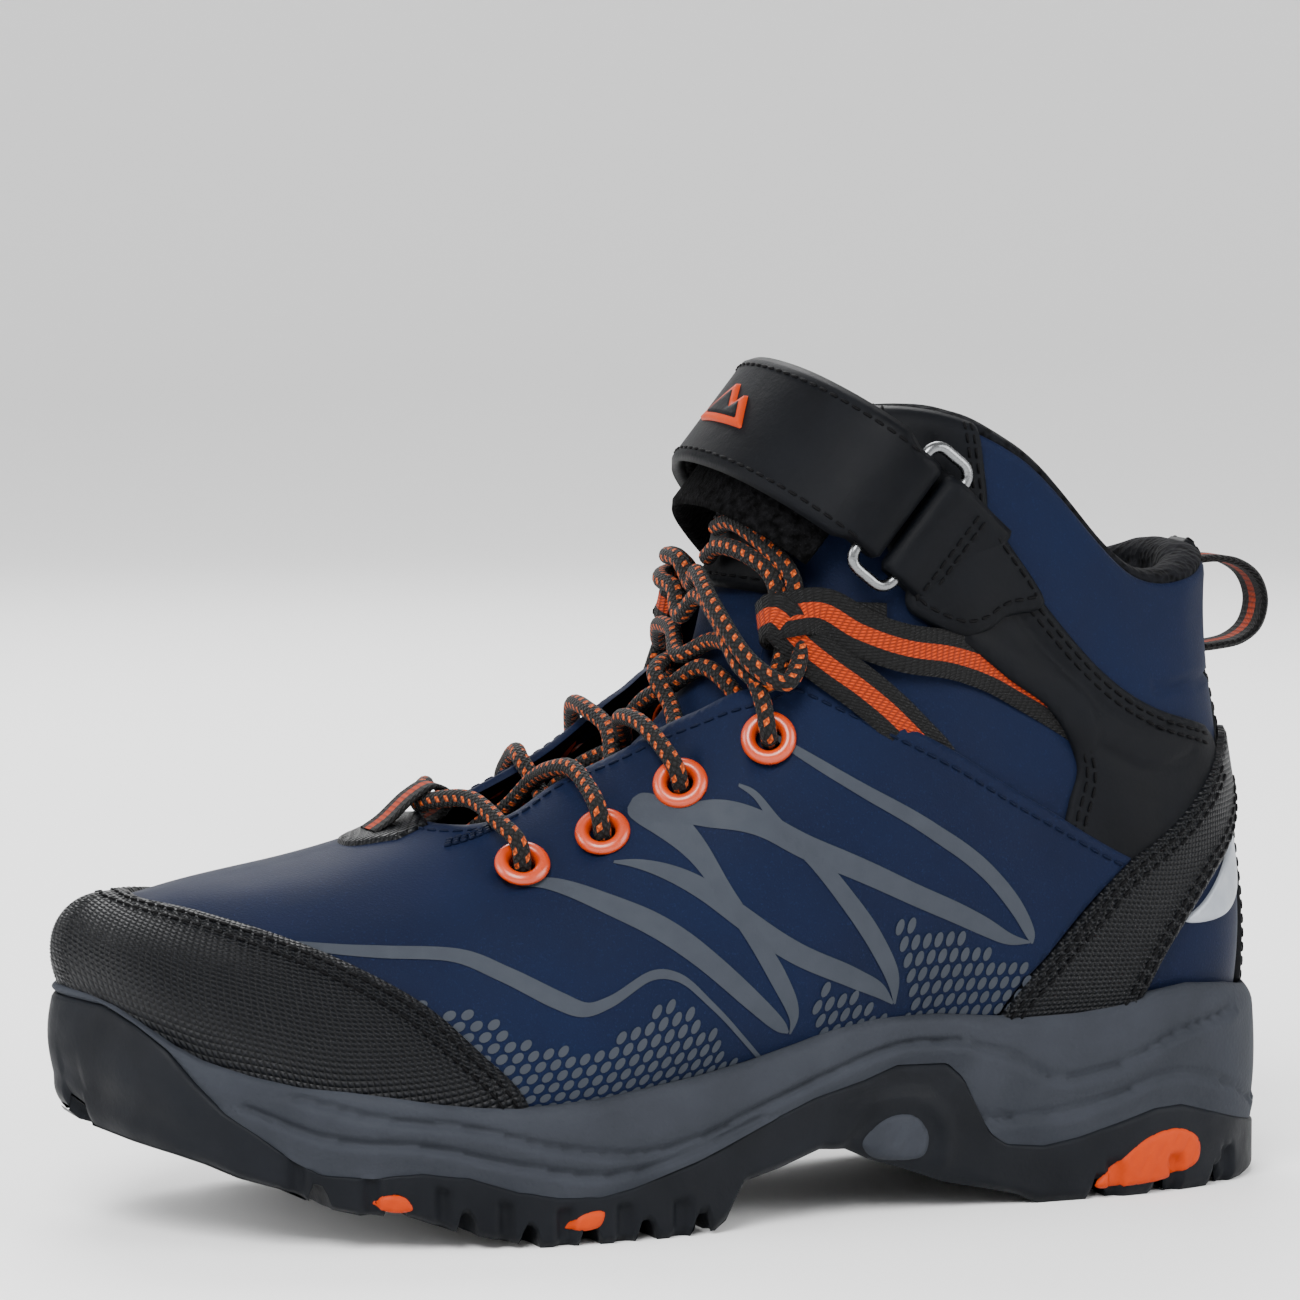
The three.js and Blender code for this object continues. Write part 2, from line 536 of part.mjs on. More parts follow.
function addTrim() {
  const sidePanel = [[0.394, -0.1], [0.755, -0.1], [0.8, 0.25], [0.86, 0.82], ...FACING_EDGE, ...PANEL_TOP,
    [0.281, 0.352], ...shift(STRAP_FRONT.slice(1), 0.004, 0)];
  addBothSides('side_panel', sidePanel, TRIM, NAVY, punched);

  const overlay = [[0.146, 0.562], [0.279, 0.384], [0.328, 0.425], [0.32, 0.525], [0.345, 0.596],
    [0.395, 0.621], [0.453, 0.662], [0.487, 0.729], [0.5, 0.82], [0.5, 0.985], [0.408, 0.985], [0.403, 0.929],
    [0.4, 0.854], [0.35, 0.792], [0.3, 0.75], [0.228, 0.725], [0.135, 0.667]];
  addBothSides('ankle_overlay', overlay, TRIM, BLACK);

  const heelStrap = [[0.05, 0.48], [0.103, 0.4], [0.175, 0.292], [0.21, 0.204], [0.235, 0.113], [0.265, -0.1],
    [0.392, -0.1], ...[...STRAP_FRONT].reverse().slice(1), [0.138, 0.55], [0.05, 0.64]];
  addBothSides('heel_strap', heelStrap, STRAP_TRIM, TEXTURED);

  const reflector = [[0.062, 0.13], [0.085, 0.12], [0.122, 0.19], [0.108, 0.3], [0.082, 0.36], [0.062, 0.36]];
  addBothSides('heel_reflector', reflector, TRIM, GREY);

  const backstay = [[-0.045, -0.1], [0.045, -0.1], [0.045, 0.6], [0.022, 0.74], [-0.022, 0.74],
    [-0.045, 0.6]];
  addPiece('backstay', panel(heelChart, backstay, TRIM), BLACK);

  const capEdge = [[0.785, -0.1], [0.787, 0.02], [0.797, 0.087], [0.823, 0.192], [0.85, 0.304],
    [0.885, 0.429], [0.917, 0.554], [0.95, 0.7], [0.98, 0.9]];
  addPiece('toe_cap', panel(toeChart, [...overToe(capEdge), [TOE_END, 2.1], [TOE_END, -0.1]], STRAP_TRIM),
    TEXTURED);
}

// ---------------------------------------------------------------- tongue

// Along the tongue: middle s and z, half its width, and how far its edges fall back.
const TONGUE = [[156.5, 61, 12, 7], [143.8, 66.8, 14, 8.5], [131.4, 74, 16, 11], [120.4, 82.2, 17, 13],
  [111.4, 92.8, 18, 14], [106, 110.5, 18.5, 14], [101.5, 128, 15.5, 12], [95, 147, 11.5, 9]];
const TONGUE_LAYER = [-4, 0];
const TONGUE_TURN = THREE.MathUtils.degToRad(80);

const tongueLine = new THREE.CatmullRomCurve3(TONGUE.map(([s, z]) => new THREE.Vector3(s, 0, z)));
const tongueSize = new THREE.CatmullRomCurve3(
  TONGUE.map(([, , half, fall]) => new THREE.Vector3(half, fall, 0)));

function tonguePoint(x, y) {
  const middle = tongueLine.getPoint(x);
  const along = tongueLine.getTangent(x);
  const out = new THREE.Vector3(-along.z, 0, along.x).negate();
  const size = tongueSize.getPoint(x);
  const angle = TONGUE_TURN * y;
  return middle.add(new THREE.Vector3(0, size.x * Math.sin(angle), 0))
    .addScaledVector(out, size.y * (Math.cos(angle) - 1));
}

function tongueChart() {
  const xs = Array.from({ length: 13 }, (_, i) => i / 12);
  const ys = [-1, -0.8, -0.6, -0.4, -0.2, 0, 0.2, 0.4, 0.6, 0.8, 1];
  const nodes = xs.map((x) => ys.map((y) => {
    const h = 0.002;
    const alongX = tonguePoint(Math.min(x + h, 1), y).sub(tonguePoint(Math.max(x - h, 0), y));
    const alongY = tonguePoint(x, y + h).sub(tonguePoint(x, y - h));
    return { point: tonguePoint(x, y), normal: alongY.cross(alongX).normalize() };
  }));
  return { xs, ys, nodes };
}

function addTongue() {
  const chart = tongueChart();
  addPiece('tongue', panel(chart, [[-1, -2], [2, -2], [2, 2], [-1, 2]], TONGUE_LAYER), NAVY);
  const keeper = [[0.67, -0.75], [0.79, -0.7], [0.79, 0.7], [0.67, 0.75]];
  addPiece('lace_keeper', panel(chart, keeper, [PLAY, 1.4]), BLACK);
}

// ---------------------------------------------------------------- eyelets and webbing loops

const EYELET_SECTION = [[EYELET_HOLE, -2.7], [3.4, -2.7], [3.4, -2.3], [2.9, -2.3], [2.9, 1.95],
  [EYELET_FLANGE, 1.95], [EYELET_FLANGE, 2.4], [3.7, 3], [EYELET_HOLE, 2.4], [EYELET_HOLE, -2.7]];

function addEyelets() {
  const section = EYELET_SECTION.map(([x, y]) => new THREE.Vector2(x, y));
  for (const [side, table] of [['outer', OUTER], ['inner', INNER]]) {
    EYELETS.forEach(([u, v], i) => {
      const ring = new THREE.LatheGeometry(section, 12);
      addPiece(`eyelet_${side}_${i + 1}`, solid(turned(ring, table, u, v, 0)), ORANGE);
    });
  }
}

// A short sleeve of webbing: lx and ly are its half sizes inside, depth is along its axis.
function sleeve(lx, ly, wall, depth) {
  const stadium = (x, y) => {
    const shape = new THREE.Path();
    shape.absarc(x - y, 0, y, -Math.PI / 2, Math.PI / 2);
    shape.absarc(y - x, 0, y, Math.PI / 2, Math.PI * 1.5);
    return shape;
  };
  const shape = new THREE.Shape(stadium(lx + wall, ly + wall).getPoints(6));
  shape.holes.push(new THREE.Path(stadium(lx, ly).getPoints(6)));
  return new THREE.ExtrudeGeometry(shape, { depth, bevelEnabled: false }).translate(0, 0, -depth / 2);
}

function standing(geometry, origin, alongX, axis) {
  const z = axis.clone().normalize();
  const y = z.clone().cross(alongX).normalize();
  const x = y.clone().cross(z);
  return solid(geometry.applyMatrix4(new THREE.Matrix4().makeBasis(x, y, z).setPosition(origin)));
}

const LOOP_AT = [0.566, 0.668];
const LOOP_RISE = 3.8;         // the middle of a loop above the cloth
const TOE_LOOP_AT = 0.848;
const HOOP_THICKNESS = 1.4;

function addWebbing() {
  const arms = [[0.556, 0.632], [0.55, 0.7], [0.49, 0.7], [0.468, 0.66], [0.47, 0.6], [0.508, 0.6],
    [0.505, 0.572], [0.527, 0.582]];
  for (const [side, table, outline] of [['outer', OUTER, arms], ['inner', INNER, mirrored(arms)]]) {
    const [u, v] = LOOP_AT;
    const up = surfacePoint(table, u, v + 0.02).sub(surfacePoint(table, u, v - 0.02));
    const forward = surfacePoint(table, u + 0.02, v).sub(surfacePoint(table, u - 0.02, v));
    const loop = standing(sleeve(4.4, 2.4, 1, 7.5), place(table, u, v, LOOP_RISE), forward, up);
    addPiece(`webbing_loop_${side}`, panel(heelChart, outline, TRIM).add(loop), WEBBING);
  }
  const stay = panel(toeChart, [[0.853, 0.91], [0.925, 0.88], [0.925, 1.12], [0.853, 1.09]], TRIM);
  const ahead = surfacePoint(OUTER, TOE_LOOP_AT + 0.02, 1).sub(surfacePoint(OUTER, TOE_LOOP_AT - 0.02, 1));
  const toeLoop = standing(sleeve(4.4, 2.4, 1, 8), place(OUTER, TOE_LOOP_AT, 1, LOOP_RISE), ahead,
    new THREE.Vector3(0, 1, 0));
  addPiece('toe_loop', stay.add(toeLoop), WEBBING);

  const hoopLine = [[11.6, 113], [6, 113.2], [0.8, 111.2], [-1.6, 106.5], [0, 101], [5.5, 98], [11.6, 97.2]];
  const hoop = band(hoopLine, HOOP_THICKNESS);
  addPiece('pull_loop', across(hoop, -WEBBING_WIDTH / 2, WEBBING_WIDTH / 2), WEBBING);
}

// ---------------------------------------------------------------- ankle strap
// The strap is rolled about one direction, so its pieces are drawn in the plane across it:
// e forward and up, t to the side, and w along the strap's width.

const STRAP_LEAN = 0.68;       // how far that direction leans back from upright, in radians
const STRAP_LOW = 33.5;        // the strap's lower edge, along w
const RING_MIDDLE = [142.6, 34.2, STRAP_LOW + STRAP_WIDTH / 2];
const BAR_REACH = 4.6;         // from the ring's middle to the middle of each long bar
const FOLD_BORE = 1.5;
const FOLD_OUT = 2.4;
const FOLD_WIDTH = 21;
const FLAP_THICKNESS = 1.5;
const PAD_THICKNESS = 0.8;

const strapFrame = new THREE.Matrix4().makeBasis(
  new THREE.Vector3(Math.cos(STRAP_LEAN), 0, Math.sin(STRAP_LEAN)),
  new THREE.Vector3(0, 1, 0),
  new THREE.Vector3(-Math.sin(STRAP_LEAN), 0, Math.cos(STRAP_LEAN)));

function alongStrap(shape, from, width) {
  return solid(new THREE.ExtrudeGeometry(shape, { depth: width, bevelEnabled: false, curveSegments: 8 })
    .translate(0, 0, from).applyMatrix4(strapFrame));
}

function foldRing(e, t) {
  const shape = new THREE.Shape().absarc(e, t, FOLD_OUT, 0, Math.PI * 2);
  shape.holes.push(new THREE.Path().absarc(e, t, FOLD_BORE, 0, Math.PI * 2));
  return shape;
}

const FLAP_LINE = [[148, 36.1], [154.5, 33.6], [161.5, 27.6], [167.8, 17.4], [171, 4], [170.6, -7],
  [167, -17], [160.5, -25.4], [153, -31.4], [147.6, -34.2]];
const BASE_LINE = [[151.4, 29.6], [157, 26.2], [162.4, 19.4], [165.8, 10], [166.3, 0], [165, -10.4],
  [160.4, -19.4], [153, -27], [146.6, -31.6], [141.4, -34.6]];

function addStrap() {
  const [e, t, w] = RING_MIDDLE;
  const foldLow = w - FOLD_WIDTH / 2;
  const flap = alongStrap(band(FLAP_LINE, FLAP_THICKNESS), STRAP_LOW, STRAP_WIDTH)
    .add(alongStrap(foldRing(e + BAR_REACH, t), foldLow, FOLD_WIDTH));
  addPiece('strap_flap', flap, BLACK);
  const padLift = (FLAP_THICKNESS + PAD_THICKNESS) / 2 + PLAY;
  const hooks = band(FLAP_LINE, PAD_THICKNESS, -padLift, 0.3, 0.9);
  addPiece('hook_pad', alongStrap(hooks, STRAP_LOW + 3, STRAP_WIDTH - 6), LINING_CLOTH);
  addPiece('strap_base', alongStrap(band(BASE_LINE, 1.4), STRAP_LOW - 5, STRAP_WIDTH - 3), LINING_CLOTH);
  const badge = band(FLAP_LINE, PAD_THICKNESS, padLift, 0.3, 0.5);
  addPiece('strap_badge', alongStrap(badge, STRAP_LOW + 8, 7), ORANGE);

  const half = RING_SPAN / 2;
  const ringShape = new THREE.Shape(roundedBox(half + 2 * RING_WIRE, BAR_REACH + RING_WIRE, 5.2));
  ringShape.holes.push(new THREE.Path(roundedBox(half, BAR_REACH - RING_WIRE, 1.2)));
  const ringFrame = new THREE.Matrix4().makeBasis(new THREE.Vector3(0, 0, 1), new THREE.Vector3(1, 0, 0),
    new THREE.Vector3(0, 1, 0)).setPosition(e, t - RING_WIRE, w);
  const ring = new THREE.ExtrudeGeometry(ringShape, { depth: 2 * RING_WIRE, bevelEnabled: false });
  addPiece('strap_ring', solid(ring.applyMatrix4(ringFrame).applyMatrix4(strapFrame)), STEEL);

  const patch = [[0.484, 0.69], [0.435, 0.662], [0.393, 0.717], [0.355, 0.783], [0.39, 0.846], [0.42, 0.883],
    [0.45, 0.915], [0.47, 0.8]];
  const layer = [TRIM[1] + PLAY, TRIM[1] + PLAY + 1.2];
  const tab = panel(heelChart, patch, layer)
    .add(alongStrap(foldRing(e - BAR_REACH, t), foldLow, FOLD_WIDTH));
  addPiece('ring_tab', tab, BLACK);
  const anchor = mirrored([[0.475, 0.68], [0.4, 0.67], [0.37, 0.78], [0.4, 0.92], [0.45, 0.93]]);
  addPiece('strap_anchor', panel(heelChart, anchor, layer), BLACK);
}

function roundedBox(halfX, halfY, radius) {
  const r = Math.min(radius, halfX, halfY);
  const path = new THREE.Path();
  path.absarc(halfX - r, halfY - r, r, 0, Math.PI / 2);
  path.absarc(r - halfX, halfY - r, r, Math.PI / 2, Math.PI);
  path.absarc(r - halfX, r - halfY, r, Math.PI, Math.PI * 1.5);
  path.absarc(halfX - r, r - halfY, r, Math.PI * 1.5, Math.PI * 2);
  return path.getPoints(5);
}

// ---------------------------------------------------------------- lace
// Its route, by hand, as side, u, v and how far out from the cloth.  Both halves climb from the
// toe loop, each from eyelet to eyelet across the tongue, out under the top eyelet and through
// both webbing loops, and end tucked behind the strap.

const ridge = { low: -5, high: -1.4 };

// own is the side that a half starts on; heights are its three crossings over the tongue.
function climb(own, other, heights) {
  return [
    [own, 0.838, 0.93, 4.1], [own, 0.82, 0.84, 4.6], [own, 0.803, 0.72, 5], [own, 0.794, 0.65, 5],
    [own, 0.792, 0.621, 2.4], [own, 0.792, 0.621, -2], [own, 0.792, 0.64, -5], [own, 0.785, 0.76, -5.2],
    [own, 0.782, 0.87, -5.2], [own, 0.777, 1, heights[0]], [other, 0.765, 0.88, 1.8], [other, 0.752, 0.8, 4],
    [other, 0.742, 0.71, 4.8], [other, 0.736, 0.64, 5], [other, 0.735, 0.608, 2.4], [other, 0.735, 0.608, -2],
    [other, 0.735, 0.63, -5], [other, 0.737, 0.76, -5.2], [other, 0.738, 0.87, -5.2],
    [own, 0.734, 1, heights[1]], [own, 0.718, 0.86, 1.8], [own, 0.7, 0.745, 4.4], [own, 0.686, 0.655, 4.9],
    [own, 0.676, 0.59, 4.6], [own, 0.675, 0.574, 2.4], [own, 0.675, 0.575, -2], [own, 0.675, 0.584, -4.6],
    [own, 0.679, 0.63, -5.2],
    [own, 0.688, 0.74, -5.2], [own, 0.7, 0.88, -5.2], [other, 0.704, 1, heights[2]],
    [other, 0.672, 0.84, -4.9], [other, 0.636, 0.68, -5.4], [other, 0.592, 0.535, -5],
    [other, 0.588, 0.521, -2],
    [other, 0.5875, 0.521, 2.4],
  ];
}

const OUTER_HALF = [
  ...climb('O', 'I', [ridge.low, ridge.low, ridge.high]),
  ['I', 0.587, 0.524, 4.4], ['I', 0.579, 0.59, 5], ['I', 0.573, 0.668, 3.9], ['I', 0.576, 0.712, 4.4],
  ['I', 0.6, 0.735, 4.6], ['I', 0.632, 0.81, 3.8], ['I', 0.655, 0.9, 2.4], ['I', 0.68, 1, 1],
  ['O', 0.648, 0.86, 3],
  ['O', 0.618, 0.72, 4.8], ['O', 0.601, 0.62, 5.2], ['O', 0.583, 0.585, 4.8], ['O', 0.572, 0.62, 4],
  ['O', 0.571, 0.67, 3.8], ['O', 0.574, 0.73, 4.2], ['O', 0.592, 0.775, 3.8], ['O', 0.622, 0.86, 2.6],
  ['O', 0.648, 0.96, 1.9],
];
const INNER_HALF = [
  ...climb('I', 'O', [ridge.high, ridge.high, ridge.low]),
  ['O', 0.588, 0.524, 4.4], ['O', 0.59, 0.57, 5.2], ['O', 0.604, 0.65, 2.8], ['O', 0.63, 0.73, -0.8],
  ['O', 0.66, 0.84, -3],
  ['O', 0.693, 1, -3], ['I', 0.66, 0.84, -2], ['I', 0.61, 0.68, 1.6], ['I', 0.574, 0.6, 5],
  ['I', 0.56, 0.62, 4.2], ['I', 0.559, 0.67, 3.9], ['I', 0.563, 0.708, 4.2], ['I', 0.583, 0.74, 4.8],
  ['I', 0.615, 0.8, 4.6], ['I', 0.642, 0.9, 3.6], ['I', 0.667, 1, 2], ['O', 0.638, 0.86, 5],
  ['O', 0.613, 0.72, 7.8],
  ['O', 0.592, 0.61, 8.4], ['O', 0.57, 0.575, 7.4], ['O', 0.56, 0.61, 4.8], ['O', 0.559, 0.67, 3.9],
  ['O', 0.561, 0.73, 4.3], ['O', 0.577, 0.775, 4.2], ['O', 0.605, 0.85, 3], ['O', 0.632, 0.94, 2.2],
];

function addLace() {
  const toe = ['O', TOE_LOOP_AT, 1, LOOP_RISE];
  const route = [...OUTER_HALF].reverse().concat([toe], INNER_HALF);
  const points = route.map(([side, u, v, offset]) => place(side === 'O' ? OUTER : INNER, u, v, offset));
  const curve = new THREE.CatmullRomCurve3(points);
  // One step for each point, so that the tube turns where the lace does.
  curve.getSpacedPoints = curve.getPoints;
  curve.getTangentAt = curve.getTangent;
  const section = new THREE.Shape().absarc(0, 0, LACE_RADIUS, 0, Math.PI * 2);
  const steps = points.length - 1;
  const tube = new THREE.ExtrudeGeometry(section, { steps, extrudePath: curve, curveSegments: 4 });
  addPiece('lace', solid(tube), WEBBING);
}

addSole();
addFootbed();
addShell();
addInside();
addTrim();
addTongue();
addEyelets();
addWebbing();
addStrap();
addLace();

// ---------------------------------------------------------------- the part's frame

boot.rotation.z = Math.PI;
const whole = new THREE.Group();
whole.add(boot);
whole.updateMatrixWorld(true);
const box = new THREE.Box3().setFromObject(whole, true);
const middle = box.getCenter(new THREE.Vector3());
boot.position.set(-middle.x, -middle.y, -box.min.z);

export default whole;
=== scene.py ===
"""Looks of a child's hiking boot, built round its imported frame.

Design lengths are in millimetres: s from the heel to the toe, t to the wearer's outer side, z up.
u runs from heel to toe and v from the sole to the top of the upper, as in the part's source.
"""

import math

import bmesh
import bpy
import numpy as np
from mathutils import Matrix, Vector, noise
from mathutils.geometry import delaunay_2d_cdt


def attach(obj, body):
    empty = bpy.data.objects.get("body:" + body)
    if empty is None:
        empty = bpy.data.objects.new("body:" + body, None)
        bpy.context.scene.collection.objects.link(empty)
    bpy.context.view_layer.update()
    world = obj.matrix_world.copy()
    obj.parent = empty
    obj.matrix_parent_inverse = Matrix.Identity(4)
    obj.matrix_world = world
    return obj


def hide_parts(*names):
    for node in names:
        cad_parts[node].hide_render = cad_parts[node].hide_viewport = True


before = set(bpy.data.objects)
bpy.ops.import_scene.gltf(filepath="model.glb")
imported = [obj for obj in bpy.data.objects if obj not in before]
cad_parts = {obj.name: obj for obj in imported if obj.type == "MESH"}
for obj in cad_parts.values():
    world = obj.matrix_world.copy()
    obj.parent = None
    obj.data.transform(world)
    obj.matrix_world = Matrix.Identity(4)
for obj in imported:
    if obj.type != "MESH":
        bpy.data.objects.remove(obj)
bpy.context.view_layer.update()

MIDDLE_S = 113.9016
MIDDLE_T = 1.1538
CHART_X = 260
CHART_Y = 90
ROLL_RADIUS = 4.5
RIM_END = 0.585 * CHART_X


def in_frame(points):
    """Design millimetres to metres in the part's frame."""
    p = np.asarray(points, float).reshape(-1, 3)
    return np.column_stack([MIDDLE_S - p[:, 0], MIDDLE_T - p[:, 1], p[:, 2]]) / 1000


# ---------------------------------------------------------------- camera, light, floor

def add_studio():
    azimuth, elevation = math.radians(-20), math.radians(6)
    away = Vector((math.sin(azimuth) * math.cos(elevation), -math.cos(azimuth) * math.cos(elevation),
                   math.sin(elevation)))
    looked_at = Vector((0.0009, 0.00115, 0.075))
    distance = 1.1
    lit_point = Vector((0, 0, 0.06))
    camera = bpy.data.cameras.new("camera")
    camera.lens = 167.3
    camera.sensor_width = 36
    camera.shift_x = -0.0246
    camera.shift_y = 0.103
    camera.clip_end = 20
    eye = bpy.data.objects.new("camera", camera)
    eye.location = looked_at + distance * away
    eye.rotation_euler = away.to_track_quat("Z", "Y").to_euler()
    bpy.context.scene.collection.objects.link(eye)
    bpy.context.scene.camera = eye
    for name, place, size, power in (("key", (-0.7, -1.0, 1.2), 0.8, 44), ("fill", (1.0, -0.9, 0.6), 0.9, 16),
                                     ("rim", (0.2, 1.1, 1.1), 0.9, 24), ("front", (-1.3, 0.1, 0.6), 0.7, 12)):
        lamp = bpy.data.lights.new(name, "AREA")
        lamp.energy = power
        lamp.size = size
        light = bpy.data.objects.new(name, lamp)
        light.location = place
        light.rotation_euler = (Vector(place) - lit_point).to_track_quat("Z", "Y").to_euler()
        bpy.context.scene.collection.objects.link(light)
    world = bpy.data.worlds.new("world")
    world.use_nodes = True
    world.node_tree.nodes["Background"].inputs["Color"].default_value = (1, 1, 1, 1)
    world.node_tree.nodes["Background"].inputs["Strength"].default_value = 0.7
    bpy.context.scene.world = world


# ---------------------------------------------------------------- materials

class Shade:
    """A small helper that builds one material's nodes."""

    def __init__(self, name, colour, rough, **sockets):
        self.material = bpy.data.materials.new(name)
        self.material.use_nodes = True
        self.tree = self.material.node_tree
        self.shader = self.tree.nodes["Principled BSDF"]
        self.shader.inputs["Base Color"].default_value = (*colour, 1)
        self.shader.inputs["Roughness"].default_value = rough
        for key, value in sockets.items():
            self.shader.inputs[key.replace("_", " ")].default_value = value
        self.coords = self.tree.nodes.new("ShaderNodeTexCoord")
        self.normal = None

    def link(self, source, target):
        self.tree.links.new(source, target)

    def calc(self, operation, a, b=0.0, clamp=False):
        node = self.tree.nodes.new("ShaderNodeMath")
        node.operation = operation
        node.use_clamp = clamp
        for socket, value in zip(node.inputs, (a, b)):
            if isinstance(value, (int, float)):
                socket.default_value = value
            else:
                self.link(value, socket)
        return node.outputs[0]

    def noise(self, size_mm, detail=3.0, stretch=(1, 1, 1)):
        mapping = self.tree.nodes.new("ShaderNodeMapping")
        mapping.inputs["Scale"].default_value = stretch
        self.link(self.coords.outputs["Object"], mapping.inputs["Vector"])
        node = self.tree.nodes.new("ShaderNodeTexNoise")
        node.inputs["Scale"].default_value = 1000 / size_mm
        node.inputs["Detail"].default_value = detail
        self.link(mapping.outputs[0], node.inputs["Vector"])
        return node.outputs["Fac"]

    def cells(self, size_mm, feature="F1"):
        node = self.tree.nodes.new("ShaderNodeTexVoronoi")
        node.feature = feature
        node.inputs["Scale"].default_value = 1000 / size_mm
        self.link(self.coords.outputs["Object"], node.inputs["Vector"])
        return node.outputs["Distance"]

    def flat(self):
        """The piece's own chart coordinates, in millimetres."""
        node = self.tree.nodes.new("ShaderNodeSeparateXYZ")
        self.link(self.coords.outputs["UV"], node.inputs[0])
        return node.outputs[0], node.outputs[1]

    def bump(self, height, depth_mm, strength=1.0):
        node = self.tree.nodes.new("ShaderNodeBump")
        node.inputs["Distance"].default_value = depth_mm / 1000
        node.inputs["Strength"].default_value = strength
        self.link(height, node.inputs["Height"])
        if self.normal is not None:
            self.link(self.normal, node.inputs["Normal"])
        self.normal = node.outputs[0]
        self.link(self.normal, self.shader.inputs["Normal"])

    def blend(self, factor, low, high, target="Base Color"):
        node = self.tree.nodes.new("ShaderNodeMix")
        node.data_type = "RGBA"
        self.link(factor, node.inputs["Factor"])
        for socket, value in ((node.inputs[6], low), (node.inputs[7], high)):
            if isinstance(value, tuple):
                socket.default_value = (*value, 1)
            else:
                self.link(value, socket)
        if target:
            self.link(node.outputs[2], self.shader.inputs[target])
        return node.outputs[2]

    def spread(self, value, low, high, out_low=0.0, out_high=1.0):
        node = self.tree.nodes.new("ShaderNodeMapRange")
        for socket, number in zip(list(node.inputs)[1:5], (low, high, out_low, out_high)):
            socket.default_value = number
        self.link(value, node.inputs[0])
        return node.outputs[0]

    def vary_roughness(self, value, low, high):
        self.link(self.spread(value, 0.3, 0.7, low, high), self.shader.inputs["Roughness"])


def half_wave(shade, value, pitch):
    """|sin| of a coordinate: pointed valleys and round tops."""
    return shade.calc("ABSOLUTE", shade.calc("SINE", shade.calc("MULTIPLY", value, math.pi / pitch)))


def cloth_shade(name, low, high, rough, grain, depth, sheen=0.02):
    shade = Shade(name, low, rough, Sheen_Weight=sheen, Sheen_Roughness=0.4, Specular_IOR_Level=0.07)
    fine = shade.noise(grain, 4)
    broad = shade.noise(28, 3)
    mixed = shade.blend(shade.spread(broad, 0.3, 0.7), low, high, None)
    # Painted highlight: the lighter specks sit on the raised points of the fine grain that also drives the
    # bump.
    specks = shade.spread(fine, 0.58, 0.75)
    shade.blend(specks, mixed, tuple(min(1.0, 1.6 * c + 0.001) for c in high))
    shade.vary_roughness(broad, rough - 0.06, rough + 0.05)
    shade.bump(fine, depth)
    return shade.material


def nubuck_shade(name):
    shade = Shade(name, (0.002, 0.0022, 0.003), 0.55, Specular_IOR_Level=0.07)
    broad = shade.noise(18, 4)
    fine = shade.noise(0.7, 5)
    shade.blend(shade.spread(broad, 0.35, 0.7), (0.0012, 0.0015, 0.0023), (0.0030, 0.0035, 0.0048))
    shade.vary_roughness(broad, 0.48, 0.64)
    shade.bump(fine, 0.05)
    shade.bump(shade.noise(5, 3), 0.12)
    return shade.material


def textured_shade(name):
    shade = Shade(name, (0.002, 0.0022, 0.003), 0.42, Specular_IOR_Level=0.14)
    x, y = shade.flat()
    along = shade.calc("ADD", x, shade.calc("MULTIPLY", y, 0.25))
    peaks = shade.calc("MULTIPLY", half_wave(shade, along, 1.2), half_wave(shade, y, 1.05))
    # Painted shade: the colour follows the pyramids' height, darker in the valleys and lighter on the tops.
    shade.blend(peaks, (0.0008, 0.0010, 0.0015), (0.0040, 0.0046, 0.0062))
    shade.bump(peaks, 0.4)
    shade.bump(shade.noise(0.4, 3), 0.02)
    shade.vary_roughness(shade.noise(15, 3), 0.38, 0.5)
    return shade.material


def foam_shade(name):
    shade = Shade(name, (0.022, 0.024, 0.030), 0.7, Specular_IOR_Level=0.1)
    broad = shade.noise(16, 4)
    shade.blend(shade.spread(broad, 0.3, 0.7), (0.0155, 0.0178, 0.0230), (0.0250, 0.0280, 0.0350))
    shade.bump(shade.cells(0.8, "SMOOTH_F1"), 0.09)
    shade.bump(shade.noise(0.35, 3), 0.03)
    shade.vary_roughness(broad, 0.66, 0.78)
    return shade.material


def rubber_shade(name, low, high, rough=0.55):
    shade = Shade(name, low, rough, Specular_IOR_Level=0.1)
    broad = shade.noise(14, 4)
    shade.blend(shade.spread(broad, 0.3, 0.7), low, high)
    shade.bump(shade.noise(0.9, 5), 0.06)
    shade.vary_roughness(shade.noise(6, 4), rough - 0.08, rough + 0.1)
    return shade.material


def plastic_shade(name):
    shade = Shade(name, (0.36, 0.030, 0.001), 0.28, Coat_Weight=0.15, Coat_Roughness=0.15)
    broad = shade.noise(6, 3)
    shade.blend(shade.spread(broad, 0.3, 0.7), (0.32, 0.025, 0.001), (0.39, 0.034, 0.0012))
    shade.vary_roughness(shade.noise(2.5, 4), 0.24, 0.36)
    shade.bump(shade.noise(1.2, 3), 0.015)
    return shade.material


def webbing_shade(name):
    shade = Shade(name, (0.004, 0.004, 0.0045), 0.8, Sheen_Weight=0.03, Specular_IOR_Level=0.15)
    x, y = shade.flat()
    stripe = shade.calc("LESS_THAN", shade.calc("ABSOLUTE", y), 1.45)
    rib = half_wave(shade, x, 1.15)
    pick = half_wave(shade, shade.calc("ADD", y, shade.calc("MULTIPLY", x, 0.45)), 0.62)
    weave = shade.calc("MULTIPLY", rib, pick)
    # Painted shade: in both colours the weave's hollows are darker and its raised threads lighter, following
    # the bump; the orange stripe is the webbing's own colour.
    orange = shade.blend(weave, (0.12, 0.010, 0.0006), (0.40, 0.036, 0.0015), None)
    black = shade.blend(weave, (0.0006, 0.0006, 0.0007), (0.0042, 0.0042, 0.0046), None)
    shade.blend(stripe, black, orange)
    shade.bump(weave, 0.3)
    shade.bump(shade.noise(0.25, 2), 0.03)
    return shade.material


